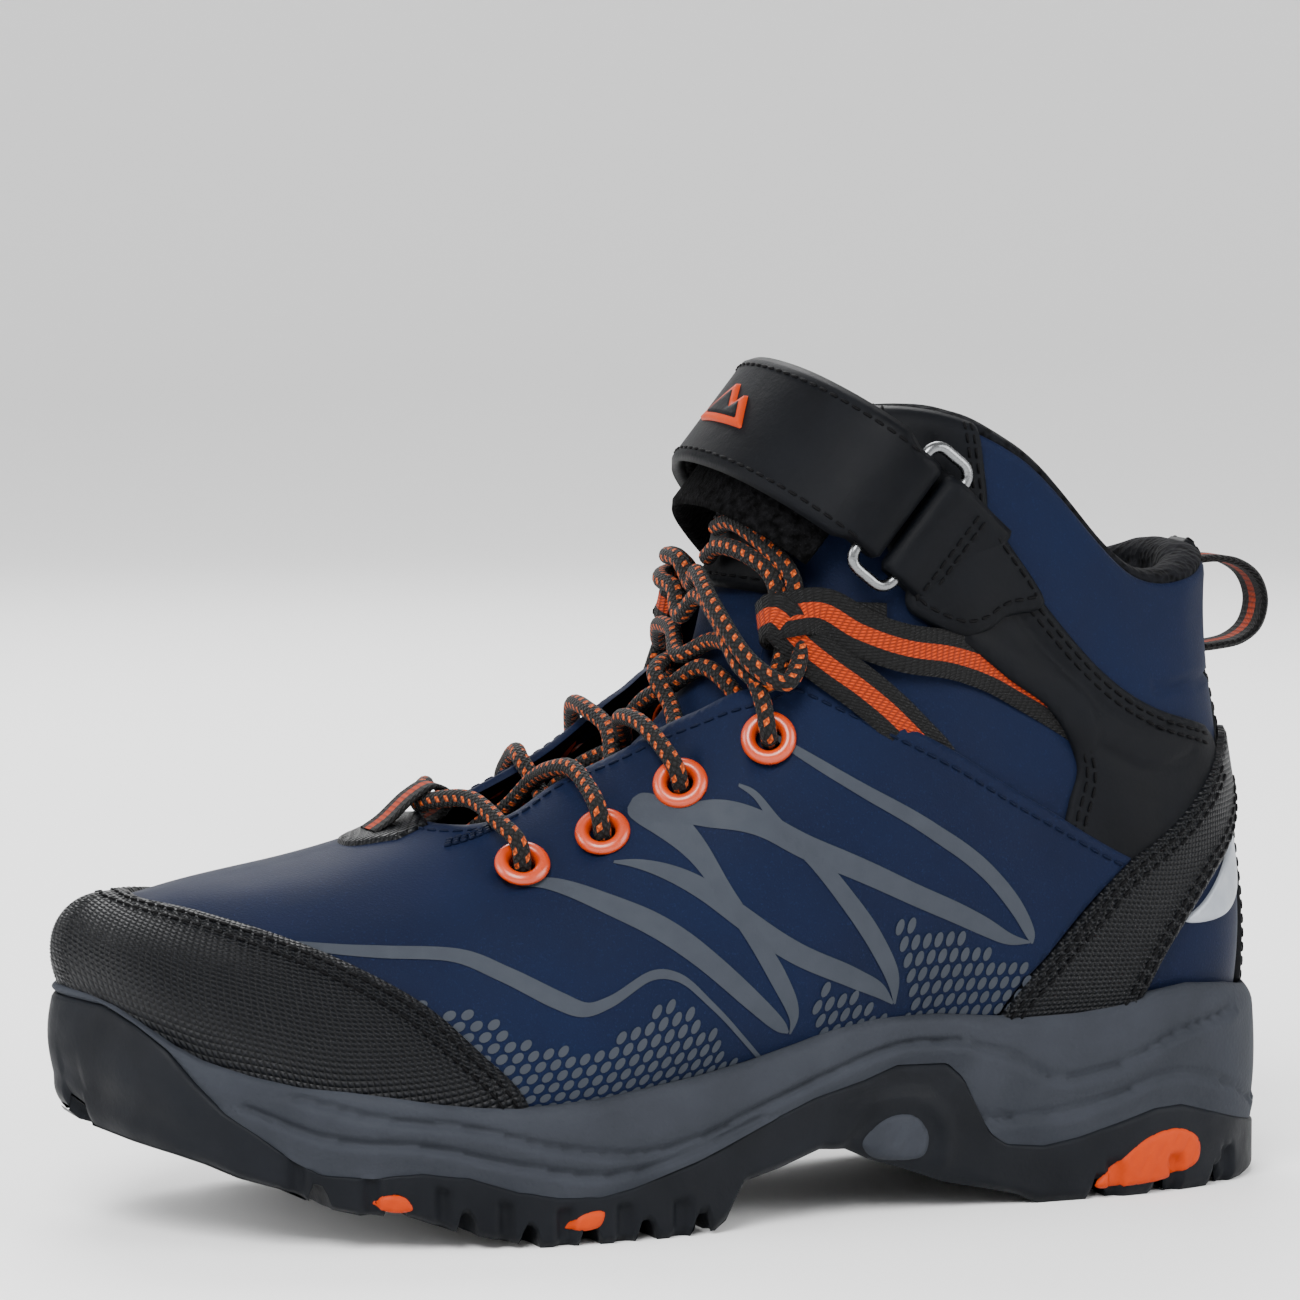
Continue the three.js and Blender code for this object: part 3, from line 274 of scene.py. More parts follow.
def lace_shade(name):
    shade = Shade(name, (0.004, 0.0035, 0.0035), 0.78, Sheen_Weight=0.03, Specular_IOR_Level=0.15)
    x, y = shade.flat()
    strands = 8.0
    lane = shade.calc("MULTIPLY", y, strands)
    twist = shade.calc("ADD", shade.calc("MULTIPLY", x, 1 / 1.15), lane)
    counter = shade.calc("SUBTRACT", shade.calc("MULTIPLY", x, 1 / 1.15), lane)
    braid = shade.calc("MULTIPLY", half_wave(shade, twist, 1.0), half_wave(shade, counter, 1.0))
    lanes = shade.calc("GREATER_THAN", shade.calc("SINE", shade.calc("MULTIPLY", y, 2 * math.pi * 4)), 0.15)
    row = shade.calc("ADD", shade.calc("MULTIPLY", x, 1 / 2.3), shade.calc("MULTIPLY", y, 2.0))
    dash = shade.calc("GREATER_THAN", shade.calc("SINE", shade.calc("MULTIPLY", row, 2 * math.pi)), 0.3)
    fleck = shade.calc("MULTIPLY", lanes, dash)
    # Painted shade: in both colours the braid's grooves are darker and its raised strands lighter, following
    # the bump; the orange flecks are the lace's own colour.
    orange = shade.blend(braid, (0.16, 0.022, 0.002), (0.50, 0.085, 0.008), None)
    black = shade.blend(braid, (0.0012, 0.0012, 0.0012), (0.0085, 0.0078, 0.0078), None)
    shade.blend(fleck, black, orange)
    shade.bump(braid, 0.25)
    shade.bump(shade.noise(0.2, 2), 0.03)
    return shade.material


def lining_shade(name):
    shade = Shade(name, (0.004, 0.004, 0.005), 0.9, Sheen_Weight=0.01, Specular_IOR_Level=0.05)
    holes = shade.cells(1.5)
    # Painted shade: the mesh's holes are darker, following the bump's depth.
    shade.blend(shade.spread(holes, 0.15, 0.55), (0.0005, 0.0005, 0.0006), (0.0045, 0.0048, 0.006))
    shade.bump(holes, 0.35)
    shade.bump(shade.noise(0.3, 2), 0.04)
    return shade.material


def pile_shade(name):
    shade = Shade(name, (0.003, 0.003, 0.0035), 0.95, Specular_IOR_Level=0.03)
    curls = shade.cells(0.7, "SMOOTH_F1")
    tufts = shade.noise(1.4, 5)
    # Painted shade: the low places between the tufts are darker, following the bump.
    shade.blend(shade.spread(tufts, 0.35, 0.7), (0.0004, 0.0004, 0.0004), (0.0045, 0.0045, 0.005))
    shade.bump(tufts, 0.8)
    shade.bump(curls, 0.35)
    return shade.material


def steel_shade(name):
    shade = Shade(name, (0.17, 0.175, 0.18), 0.24, Metallic=1.0)
    shade.vary_roughness(shade.noise(1.5, 5, (1, 1, 6)), 0.16, 0.34)
    shade.bump(shade.noise(0.6, 4, (6, 1, 1)), 0.008)
    return shade.material


def film_shade(name, low, high, rough, metal=0.0):
    shade = Shade(name, low, rough, Specular_IOR_Level=0.1, Metallic=metal)
    shade.blend(shade.noise(4, 4), low, high)
    shade.bump(shade.noise(0.6, 4), 0.03)
    shade.vary_roughness(shade.noise(3, 3), rough - 0.05, rough + 0.08)
    return shade.material


def thread_shade(name, low, high):
    shade = Shade(name, low, 0.6, Specular_IOR_Level=0.06)
    strand = shade.noise(0.25, 2)
    # Painted shade: the grooves between the strands are darker, following the bump.
    shade.blend(strand, low, high)
    shade.bump(strand, 0.06)
    return shade.material


NAVY = cloth_shade("navy_softshell", (0.0016, 0.0040, 0.0150), (0.0024, 0.0056, 0.0205), 0.66, 0.42, 0.07)
TONGUE_BLUE = cloth_shade("tongue_cloth", (0.0017, 0.0042, 0.0155), (0.0025, 0.0058, 0.0210), 0.7, 0.5, 0.09)
NUBUCK = nubuck_shade("black_nubuck")
TEXTURED = textured_shade("textured_synthetic")
FOAM = foam_shade("midsole_foam")
RUBBER = rubber_shade("outsole_rubber", (0.0024, 0.0030, 0.0044), (0.0046, 0.0056, 0.0078))
ORANGE_RUBBER = rubber_shade("orange_rubber", (0.30, 0.024, 0.001), (0.36, 0.032, 0.0015), 0.5)
GREY_RUBBER = rubber_shade("grey_rubber", (0.0150, 0.0172, 0.0225), (0.0240, 0.0270, 0.0340), 0.6)
PLASTIC = plastic_shade("eyelet_plastic")
WEBBING = webbing_shade("webbing")
LACE = lace_shade("lace_braid")
LINING = lining_shade("lining_mesh")
PILE = pile_shade("hook_and_loop")
STEEL = steel_shade("ring_steel")
PRINT = film_shade("grey_print", (0.022, 0.026, 0.034), (0.030, 0.035, 0.044), 0.6)
REFLECT = film_shade("reflective_film", (0.20, 0.22, 0.25), (0.32, 0.34, 0.37), 0.35, 0.3)
BOARD = film_shade("fibre_board", (0.28, 0.20, 0.12), (0.38, 0.29, 0.18), 0.85)
BLACK_THREAD = thread_shade("black_thread", (0.0006, 0.0006, 0.0008), (0.0028, 0.0028, 0.0034))
NAVY_THREAD = thread_shade("navy_thread", (0.001, 0.0022, 0.008), (0.003, 0.0062, 0.020))


# ---------------------------------------------------------------- the surface of the upper

STATIONS = np.array([0, .07, .14, .24, .36, .45, .53, .59, .66, .74, .82, .89, .95, .985, 1])
TOP_ROW = [(12.5, 0, 112.5), (14.5, 12, 111.8), (21, 20.5, 109.5), (35, 26, 110.8), (58, 28, 132.5),
           (74, 27, 139.5), (88, 18, 141), (97, 0, 141), (108, 0, 113), (130, 0, 85), (157, 0, 73),
           (184, 0, 64.5), (206, 0, 60.5), (216, -3, 58.2), (220, -4, 57.6)]
OUTER = np.array([
    [(5, 0, 36), (7.5, 12, 36.5), (15, 22, 37), (33, 29.5, 36), (60, 32, 35.5), (80, 34, 35), (98, 37, 33),
     (112, 39.5, 31), (127, 42, 28), (146, 44, 25), (166, 43, 24), (186, 38.5, 26), (207, 27, 31),
     (220, 11, 38), (226, -4, 41)],
    [(3.5, 0, 58), (6, 15, 57), (13.5, 25, 57), (31, 34, 57), (57, 38, 60), (76, 42, 62), (94, 45, 60),
     (109, 47, 55), (124, 49, 48), (145, 49, 42), (166, 48, 40), (188, 43, 43), (212, 31, 46), (226, 12, 50),
     (232, -4, 52)],
    [(14.5, 0, 88), (16.5, 12, 89), (22.5, 20.5, 88), (35, 28, 86), (56, 29, 98), (75, 31, 110),
     (95, 29, 112),
     (110, 23, 108), (120, 19, 98), (138, 23, 82), (160, 26, 73), (186, 25, 65), (208, 18, 60), (221, 8, 57),
     (226, -4, 58)],
    TOP_ROW], float)
INNER = np.array([
    [(5, 0, 36), (7.5, -12, 36.5), (15, -21, 37), (33, -27, 36), (60, -27, 36), (80, -26.5, 36),
     (98, -28, 35),
     (112, -31, 33), (127, -35, 30), (146, -39.5, 27), (166, -42, 26), (186, -41, 28), (207, -33, 32),
     (220, -19, 38), (226, -4, 41)],
    [(3.5, 0, 58), (6, -15, 57), (13.5, -24, 57), (31, -32, 57), (57, -36, 60), (76, -38, 62), (94, -40, 60),
     (109, -42, 56), (124, -44, 50), (145, -46, 43), (166, -48, 41), (188, -46, 44), (212, -37, 47),
     (226, -20, 50), (232, -4, 52)],
    [(14.5, 0, 88), (16.5, -12, 89), (22.5, -20.5, 88), (35, -28, 86), (56, -29, 98), (75, -31, 110),
     (95, -29, 112), (110, -23, 108), (120, -19, 98), (138, -23, 82), (160, -26, 73), (186, -27, 65),
     (208, -22, 60), (221, -14, 57), (226, -4, 58)],
    [(s, -t if s < 90 else t, z) for s, t, z in TOP_ROW]], float)


def slopes_of(table):
    """Slopes of every row at the stations; the heel and toe close squarely across the boot."""
    step = np.diff(STATIONS)[None, :, None]
    secant = np.diff(table, axis=1) / step
    slope = np.empty_like(table)
    weighted = secant[:, :-1] * step[:, 1:] + secant[:, 1:] * step[:, :-1]
    slope[:, 1:-1] = weighted / (step[:, 1:] + step[:, :-1])
    slope[:, 0] = secant[:, 0] * (0, 1, 0)
    slope[:, -1] = secant[:, -1] * (0, 1, 0)
    return slope


SLOPES = [slopes_of(OUTER), slopes_of(INNER)]


def surface(inner, u, v):
    """Points of the upper's outer cloth, in design millimetres; inner is 1 on the inner side."""
    u, v = np.broadcast_arrays(np.asarray(u, float), np.asarray(v, float))
    u, v = u.ravel(), v.ravel()
    inner = np.broadcast_to(inner, u.shape)
    k = np.clip(np.searchsorted(STATIONS, u, side="right") - 1, 0, len(STATIONS) - 2)
    step = STATIONS[k + 1] - STATIONS[k]
    f = (u - STATIONS[k]) / step
    basis = (2 * f**3 - 3 * f**2 + 1, (f**3 - 2 * f**2 + f) * step, 3 * f**2 - 2 * f**3, (f**3 - f**2) * step)
    w = 1 - v
    weights = (w**3, 3 * w * w * v, 3 * w * v * v, v**3)
    total = np.zeros((len(u), 3))
    for row, weight in enumerate(weights):
        sides = []
        for table, slope in zip((OUTER, INNER), SLOPES):
            sides.append(basis[0][:, None] * table[row][k] + basis[1][:, None] * slope[row][k]
                         + basis[2][:, None] * table[row][k + 1] + basis[3][:, None] * slope[row][k + 1])
        total += weight[:, None] * np.where(inner[:, None] > 0, sides[1], sides[0])
    return total


def unit(vectors):
    return vectors / np.maximum(np.linalg.norm(vectors, axis=-1, keepdims=True), 1e-9)


def outward(inner, u, v):
    """Outward normals; at the toe's middle line both sides share one."""
    u, v = np.broadcast_arrays(np.asarray(u, float), np.asarray(v, float))
    u, v = u.ravel(), v.ravel()
    inner = np.broadcast_to(inner, u.shape) > 0
    share = 0.5 * np.clip((u - 0.965) / 0.035, 0, 1)[:, None]
    return unit((1 - share) * side_normal(inner, u, v) + share * side_normal(~inner, u, v))


def side_normal(inner, u, v):
    h = 0.002
    low_u, high_u = np.maximum(u - h, 0), np.minimum(u + h, 1)
    along_u = surface(inner, high_u, v) - surface(inner, low_u, v)
    along_v = surface(inner, u, v + h) - surface(inner, u, v - h)
    sign = np.where(inner > 0, 1.0, -1.0)[:, None]
    return unit(np.cross(along_u, along_v) * sign)


def on_upper(xy, lift, rim=True):
    """Chart millimetres to the frame.  Past the collar's rim the chart rolls over the padding."""
    xy = np.asarray(xy, float)
    lift = np.broadcast_to(lift, len(xy))
    rolled = (xy[:, 1] > CHART_Y) & (np.abs(xy[:, 0]) < RIM_END) & rim
    inner = (xy[:, 0] < 0) | ((xy[:, 1] > CHART_Y) & ~rolled)
    u = np.clip(np.abs(xy[:, 0]) / CHART_X, 0, 1)
    v = xy[:, 1] / CHART_Y
    v = np.where(rolled, 1, np.where(v > 1, 2 - v, v))
    base, normal = surface(inner, u, v), outward(inner, u, v)
    points = base + normal * lift[:, None]
    if rolled.any():
        up = surface(inner, u, v) - surface(inner, u, v - 0.01)
        up = unit(up - normal * (up * normal).sum(1, keepdims=True))
        angle = np.clip((xy[:, 1] - CHART_Y) / ROLL_RADIUS, 0, math.pi)
        radius = ROLL_RADIUS + lift
        arc = base - normal * ROLL_RADIUS + radius[:, None] * (
            normal * np.cos(angle)[:, None] + up * np.sin(angle)[:, None])
        points = np.where(rolled[:, None], arc, points)
    return in_frame(points)


def on_front(xy, lift):
    """The same chart without a rim: past the middle line it comes down the inner side."""
    return on_upper(xy, lift, False)


# ---------------------------------------------------------------- curves and meshes

def run_length(points):
    """How far along the line each of its points is."""
    return np.concatenate([[0], np.cumsum(np.linalg.norm(np.diff(points, axis=0), axis=1))])


def left_of(line):
    """The direction to the left of a flat line at each of its points."""
    tangent = unit(np.gradient(line, axis=0))
    return np.column_stack([-tangent[:, 1], tangent[:, 0]])


def anticlockwise(ring):
    x, y = ring.T
    area = (x * np.roll(y, -1) - np.roll(x, -1) * y).sum()
    return ring if area > 0 else ring[::-1]


def smooth_line(points, step=1.0, closed=False):
    """A centripetal Catmull-Rom curve through the points, resampled evenly."""
    p = np.asarray(points, float)
    if len(p) < 3 and not closed:
        return spaced(p, step)
    if closed:
        p = np.vstack([p[-1], p, p[0], p[1]])
    else:
        p = np.vstack([2 * p[0] - p[1], p, 2 * p[-1] - p[-2]])
    out = []
    for i in range(1, len(p) - 2):
        gaps = np.linalg.norm(np.diff(p[i - 1:i + 3], axis=0), axis=1)
        knots = np.concatenate([[0], np.cumsum(np.sqrt(np.maximum(gaps, 1e-6)))])
        t = np.linspace(knots[1], knots[2], 24, endpoint=False)[:, None]
        a = [(knots[j + 1] - t) / (knots[j + 1] - knots[j]) * p[i - 1 + j]
             + (t - knots[j]) / (knots[j + 1] - knots[j]) * p[i + j] for j in range(3)]
        b = [(knots[j + 2] - t) / (knots[j + 2] - knots[j]) * a[j]
             + (t - knots[j]) / (knots[j + 2] - knots[j]) * a[j + 1] for j in range(2)]
        span = knots[2] - knots[1]
        out.append((knots[2] - t) / span * b[0] + (t - knots[1]) / span * b[1])
    out.append(p[-2][None])
    return spaced(np.vstack(out), step)


def spaced(points, step):
    """The same line with its points about a step apart."""
    points = np.asarray(points, float)
    length = run_length(points)
    count = max(2, int(round(length[-1] / step)) + 1)
    at = np.linspace(0, length[-1], count)
    return np.column_stack([np.interp(at, length, points[:, i]) for i in range(points.shape[1])])


def chart(points, flip=False):
    """(u, v) pairs to chart millimetres; flip gives the inner side of the heel chart."""
    p = np.asarray(points, float) * (CHART_X, CHART_Y)
    return p * (-1, 1) if flip else p


def other_side(points):
    """The same line on the inner side of the toe chart, run backwards."""
    p = np.asarray(points, float).copy()
    p[:, 1] = 2 * CHART_Y - p[:, 1]
    return p[::-1]


def loop_of(points, step=1.0):
    """A closed smooth outline."""
    return anticlockwise(smooth_line(points, step, closed=True)[:-1])


def ring_of(*runs, step=1.0):
    """A closed outline of smooth runs, with a corner between each two."""
    joined = np.vstack([smooth_line(run, step)[:-1] for run in runs])
    gap = np.linalg.norm(np.roll(joined, -1, 0) - joined, axis=1)
    filled = []
    for i, point in enumerate(joined):
        filled.append(point)
        extra = int(gap[i] // (1.6 * step))
        following = joined[(i + 1) % len(joined)]
        filled.extend(point + (following - point) * (j + 1) / (extra + 1) for j in range(extra))
    filled = np.array(filled)
    keep = np.linalg.norm(filled - np.roll(filled, 1, 0), axis=1) > 0.05 * step
    return anticlockwise(filled[keep])


def polygon(corners, step=0.5):
    """A closed outline with straight sides."""
    return ring_of(*[np.array(pair) for pair in zip(corners, np.roll(corners, -1, 0))], step=step)


def inside(points, ring):
    """Which points are inside a closed outline."""
    x, y = points[:, :1], points[:, 1:]
    x0, y0 = ring.T
    x1, y1 = np.roll(ring, -1, 0).T
    rise = np.where(y1 == y0, 1e-12, y1 - y0)
    hit = ((y0 > y) != (y1 > y)) & (x < (x1 - x0) * (y - y0) / rise + x0)
    return hit.sum(1) % 2 == 1


def distance_to(points, starts, ends):
    """Each point's distance to the nearest of the straight pieces, worked out in batches."""
    batch = 3000
    best = np.full(len(points), 1e9)
    span = ends - starts
    square = np.maximum((span**2).sum(1), 1e-12)
    for i in range(0, len(points), batch):
        gap = points[i:i + batch, None] - starts
        f = np.clip((gap * span).sum(2) / square, 0, 1)
        best[i:i + batch] = np.linalg.norm(gap - f[..., None] * span, axis=2).min(1)
    return best


def add_mesh(name, points, faces, material, uv=None, body="root", nodes=(), slot=None):
    """One piece on its body; it replaces the nodes. slot is not used."""
    mesh = bpy.data.meshes.new(name)
    mesh.from_pydata([tuple(p) for p in points], [], [tuple(int(i) for i in f) for f in faces])
    if uv is not None:
        layer = mesh.uv_layers.new(name="flat")
        loops = np.empty(len(mesh.loops), int)
        mesh.loops.foreach_get("vertex_index", loops)
        layer.data.foreach_set("uv", np.asarray(uv, float)[loops].ravel())
    mesh.polygons.foreach_set("use_smooth", [True] * len(mesh.polygons))
    mesh.materials.append(material)
    mesh.update()
    piece = bpy.data.objects.new(name, mesh)
    bpy.context.scene.collection.objects.link(piece)
    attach(piece, body)
    if nodes:
        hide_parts(*nodes)
    return piece


def wave_of(xy, size, seed):
    """Slow random waves over the chart, about a size apart."""
    return np.array([noise.noise(Vector((x / size, y / size, seed))) for x, y in xy])


def height_at(level, xy):
    return level(xy) if callable(level) else np.full(len(xy), float(level))


def patch(name, ring, material, level, place=on_upper, rise=1.0, roll=0.9, pitch=1.3, seam=None,
          wave=0.0, wave_size=14.0, flip=True, relief=None, around=None, **kept):
    """A panel cut to an outline and laid on a surface, its edges rolled down by rise."""
    following = np.roll(ring, -1, 0)
    free = np.ones(len(ring), bool)
    if seam is not None:
        free = ~((np.abs(ring[:, 0] - seam) < 0.01) & (np.abs(following[:, 0] - seam) < 0.01))
    low, high = ring.min(0), ring.max(0)
    rows = np.arange(low[1] + pitch / 2, high[1], pitch * 0.87)
    columns = [np.arange(low[0] + (i % 2) * pitch / 2, high[0], pitch) for i in range(len(rows))]
    grid = np.vstack([np.column_stack([x, np.full(len(x), y)]) for x, y in zip(columns, rows)])
    grid = grid[inside(grid, ring)]
    gap = distance_to(grid, ring, following)
    grid = grid[gap > max(0.55 * pitch, 0.75)]
    tangent = unit(following - np.roll(ring, 1, 0))
    left = np.column_stack([-tangent[:, 1], tangent[:, 0]])
    rim = (ring + 0.32 * left)[free]
    rim = rim[inside(rim, ring)]
    if len(rim):
        rim = rim[distance_to(rim, ring, following) > 0.25]
    flat = np.vstack([ring, rim, grid])
    count = len(ring)
    edges = [(i, (i + 1) % count) for i in range(count)]
    verts, _, faces, *_ = delaunay_2d_cdt([Vector(p) for p in flat], edges, [], 1, 1e-4)
    xy = np.array([tuple(p) for p in verts])
    away = distance_to(xy, ring[free], following[free]) if free.any() else np.full(len(xy), 99.0)
    f = np.clip(away / roll, 0, 1)
    lift = height_at(level, xy) - rise * (1 - np.sqrt(1 - (1 - f)**2))
    if wave:
        lift = lift + wave * wave_of(xy, wave_size, 3.7) * np.clip(away / 4, 0, 1)
    if relief is not None:
        lift = lift + relief(xy)
    points = place(xy, lift)
    faces = [face[::-1] for face in faces] if flip else faces
    uv = xy if around is None else around(points)
    piece = add_mesh(name, points, faces, material, uv=uv, **kept)
    if seam is not None:
        weld(piece, np.abs(xy[:, 0] - seam) < 0.01)
    return piece


def weld(piece, chosen):
    """Joins the chosen points that lie on each other."""
    work = bmesh.new()
    work.from_mesh(piece.data)
    work.verts.ensure_lookup_table()
    bmesh.ops.remove_doubles(work, verts=[work.verts[i] for i in np.flatnonzero(chosen)], dist=2e-5)
    work.to_mesh(piece.data)
    work.free()


def grid_mesh(name, points, rows, columns, material, uv=None, closed=False, flip=False, **kept):
    """A sheet of rows by columns of points; closed joins the last column to the first."""
    faces = []
    for i in range(rows - 1):
        for j in range(columns if closed else columns - 1):
            a, b = i * columns + j, i * columns + (j + 1) % columns
            quad = (a, b, b + columns, a + columns)
            faces.append(quad[::-1] if flip else quad)
    return add_mesh(name, points, faces, material, uv=uv, **kept)


def shifted(line, distance):
    """A flat line moved to its left."""
    return line + distance * left_of(line)


STITCH_SIDES = 6
STITCH_RINGS = ((0, 0.35, 0.25), (0.12, 0.9, 0), (0.5, 1.0, -0.1), (0.88, 0.9, 0), (1, 0.35, 0.25))


def stitches(name, lines, material, level, place=on_upper, pitch=2.7, length=2.0, radius=0.32, **kept):
    """Rows of thread, one small capsule for each stitch, half sunk in the panel."""
    points, faces = [], []
    sides = STITCH_SIDES
    for line in lines:
        dense = spaced(line, 0.5)
        height = height_at(level, dense)
        base, above = place(dense, height), place(dense, height + 1)
        both = spaced(np.hstack([base, above]) * 1000, pitch * math.sqrt(2)) / 1000
        for start, end in zip(both[:-1], both[1:]):
            a, up = start[:3], unit((start[3:] - start[:3])[None])[0]
            b = a + (end[:3] - a) * length / pitch
            along = unit((b - a)[None])[0]
            side = np.cross(along, up)
            first = len(points)
            for f, r, sink in STITCH_RINGS:
                for k in range(sides):
                    angle = 2 * math.pi * k / sides
                    points.append(a + (b - a) * f + radius / 1000 * r * (math.cos(angle) * side
                                  + math.sin(angle) * up) - up * sink * radius / 1000)
            for ring in range(4):
                for k in range(sides):
                    p, q = first + ring * sides + k, first + ring * sides + (k + 1) % sides
                    faces.append((p, q, q + sides, p + sides))
            faces.append(tuple(first + k for k in range(sides))[::-1])
            faces.append(tuple(first + 4 * sides + k for k in range(sides)))
    return add_mesh(name, points, faces, material, **kept)


def tube(name, centres, radius, material, **kept):
    """A round tube along points in metres, with u along it in millimetres and v once round it."""
    sides = 14
    p = np.asarray(centres)
    tangent = unit(np.gradient(p, axis=0))
    up = np.zeros_like(p)
    seed = np.array([0.0, 0.0, 1.0]) if abs(tangent[0][2]) < 0.9 else np.array([1.0, 0, 0])
    up[0] = unit((seed - tangent[0] * seed.dot(tangent[0]))[None])[0]
    for i in range(1, len(p)):
        moved = up[i - 1] - tangent[i] * up[i - 1].dot(tangent[i])
        up[i] = unit(moved[None])[0]
    side = np.cross(tangent, up)
    length = run_length(p) * 1000
    points, uv = [], []
    for k in range(sides + 1):
        angle = 2 * math.pi * k / sides
        points.append(p + radius * (math.cos(angle) * side + math.sin(angle) * up))
        uv.append(np.column_stack([length, np.full(len(p), k / sides)]))
    points = np.stack(points, 1).reshape(-1, 3)
    uv = np.stack(uv, 1).reshape(-1, 2)
    return grid_mesh(name, points, len(p), sides + 1, material, uv=uv, **kept)


def sweep(name, line, half_width, half_thick, frame_point, material, soft=0.9, narrow=None, **kept):
    """A flat band with rounded edges along a plane line.

    narrow is its share of the width at the start, and how far the narrow part reaches.
    """
    line = smooth_line(line, 1.0)
    left = left_of(line)
    corners = []
    across = np.concatenate([np.linspace(-1, 1, 19)[:-1], np.linspace(1, -1, 19)[:-1]])
    face = np.concatenate([np.ones(18), -np.ones(18)])
    for c, f in zip(across, face):
        edge = max(0.0, (abs(c) * half_width - (half_width - soft)) / soft)
        corners.append((c * half_width, f * half_thick * math.sqrt(max(0.0, 1 - edge**2))))
    length = run_length(line)
    share, reach = narrow or (1.0, 1.0)
    wide = share + (1 - share) * np.clip((length - reach) / 4, 0, 1)
    points, uv = [], []
    for i in range(len(line)):
        for c, h in corners:
            points.append(frame_point(line[i] + left[i] * h, c * wide[i]))
            uv.append((length[i], c))
    count = len(corners)
    faces = []
    for i in range(len(line) - 1):
        for j in range(count):
            a, b = i * count + j, i * count + (j + 1) % count
            faces.append((a, a + count, b + count, b))
    faces.append(tuple(range(count)))
    faces.append(tuple(range((len(line) - 1) * count, len(line) * count))[::-1])
    return add_mesh(name, in_frame(np.array(points)), faces, material, uv=uv, **kept)


# ---------------------------------------------------------------- sole unit

FOAM_TOP = np.array([(0, 35), (4.8, 35.3), (15, 37.3), (25, 38.2), (34.5, 37.2), (41, 35.8), (49, 34.8),
                     (57, 34.6),
                     (65, 34.7), (77, 35.8), (90, 35.9), (98, 34.6), (106, 32.5), (116, 30.1), (126, 28.2),
                     (136, 26.8), (145, 25.6), (153, 24.9), (158, 24.8), (167, 25.4), (174, 26.3),
                     (181, 27.6),
                     (189, 28.8), (197, 29.6), (204, 31), (211.5, 33.2), (215.6, 35.5), (219.3, 38.6),
                     (222.6, 41.5), (225.9, 42.9), (229.4, 43.5), (236, 44)])
FOAM_FOOT = np.array([(0, 9.5), (5, 10), (14, 12.5), (22.4, 15), (27, 16.3), (33, 16.1), (41, 14), (49, 11.9),
                      (56, 10.8), (63.6, 11.6), (67, 13.9), (69.6, 19), (72.4, 24.4), (75.7, 27.2),
                      (86, 27.6),
                      (92.7, 25.4), (103, 23), (113, 19.3), (126.4, 13.8), (139, 9.9), (145.5, 8.6),
                      (152.8, 9),
                      (160, 10.3), (168.6, 13.1), (177, 14.2), (185, 13.4), (193.4, 13.9), (198, 16.5),
                      (203, 20.6), (208, 24.3), (212, 29), (216, 34.5), (220, 38.4), (224, 41.3), (236, 43)])
TREAD = np.array([(0, 3), (2, 1.2), (6, 0.1), (24, 0), (57, 0), (61, 1.9), (66.8, 3.3), (75.6, 5.2), (86, 9),
                  (91.5, 10.7), (96, 12.9), (101.5, 13.3), (109.7, 10.6), (117, 8.8), (120.5, 2.2),
                  (123, 0.4),
                  (128, 0), (156, 0), (163, 1.6), (171.4, 3.6), (179, 6.4), (186.8, 6.6), (193.4, 8.1),
                  (200, 11.2), (206, 12.7), (210.7, 14.7), (215, 16.1), (220.6, 17.6), (226, 19.4),
                  (230, 23), (236, 29)])
GROOVES = [(14, 3), (27, 3), (40, 3), (128, 3), (139, 3), (150, 3), (161, 2.6), (172, 2.6), (184, 2.6),
           (196, 2.6)]
CARVED = [[(70.9, 30), (61.1, 26.4), (54.8, 22.9), (47.5, 22.7), (38.7, 25), (29, 29), (16, 32)],
          [(68.3, 16.2), (58, 15.8), (49.9, 16.4), (42, 18.3), (34.3, 21), (26.1, 21.4), (16, 18.5), (8, 14)],
          [(196.8, 27), (184, 23.5), (168.8, 21.5), (152.8, 17.3), (137.9, 15.4), (126.2, 17.2),
           (114.2, 21.6),
           (99.9, 26.7), (85.5, 30.8), (73.3, 30.6)],
          [(204.4, 24.9), (192, 20), (175.7, 18.4), (160, 14.6), (143.6, 12), (128.1, 15), (114, 19.9)]]
SHANK_OVAL = [(93.5, 13.9), (88, 18.2), (82.4, 18), (79.6, 14.5), (80.5, 10.6), (86, 9.9), (91.5, 11.2)]
SHANK_RING = [(98.5, 14.5), (91.7, 20.6), (81.4, 20.6), (76.2, 15.9), (76.6, 9.6)]

WALL_U = 0.5 - 0.5 * np.cos(np.linspace(0, math.pi, 420))
WALL_SIDES = []
for side_index in (0, 1):
    edge_points = surface(np.full(len(WALL_U), side_index), WALL_U, 0)[:, :2]
    flat_normals = unit(outward(np.full(len(WALL_U), side_index), WALL_U, 0.1)[:, :2])
    WALL_SIDES.append((edge_points, flat_normals))


def level_of(line, s):
    return np.interp(s, line[:, 0], line[:, 1])


def groove_depth(s, t):
    """How deep the tread is cut between its lugs."""
    bent = s + 0.10 * np.abs(t) * np.where(s < 100, -1, 1)
    cut = np.zeros_like(s)
    for start, width in GROOVES:
        edge = np.clip((width / 2 + 0.4 - np.abs(bent - start - width / 2)) / 0.8, 0, 1)
        cut = np.maximum(cut, edge)
    tread = (s < 58) | (s > 122)
    middle = np.clip((3.2 - np.abs(t - 2)) / 0.8, 0, 1)
    return 4 * np.maximum(cut, 0.75 * middle) * tread


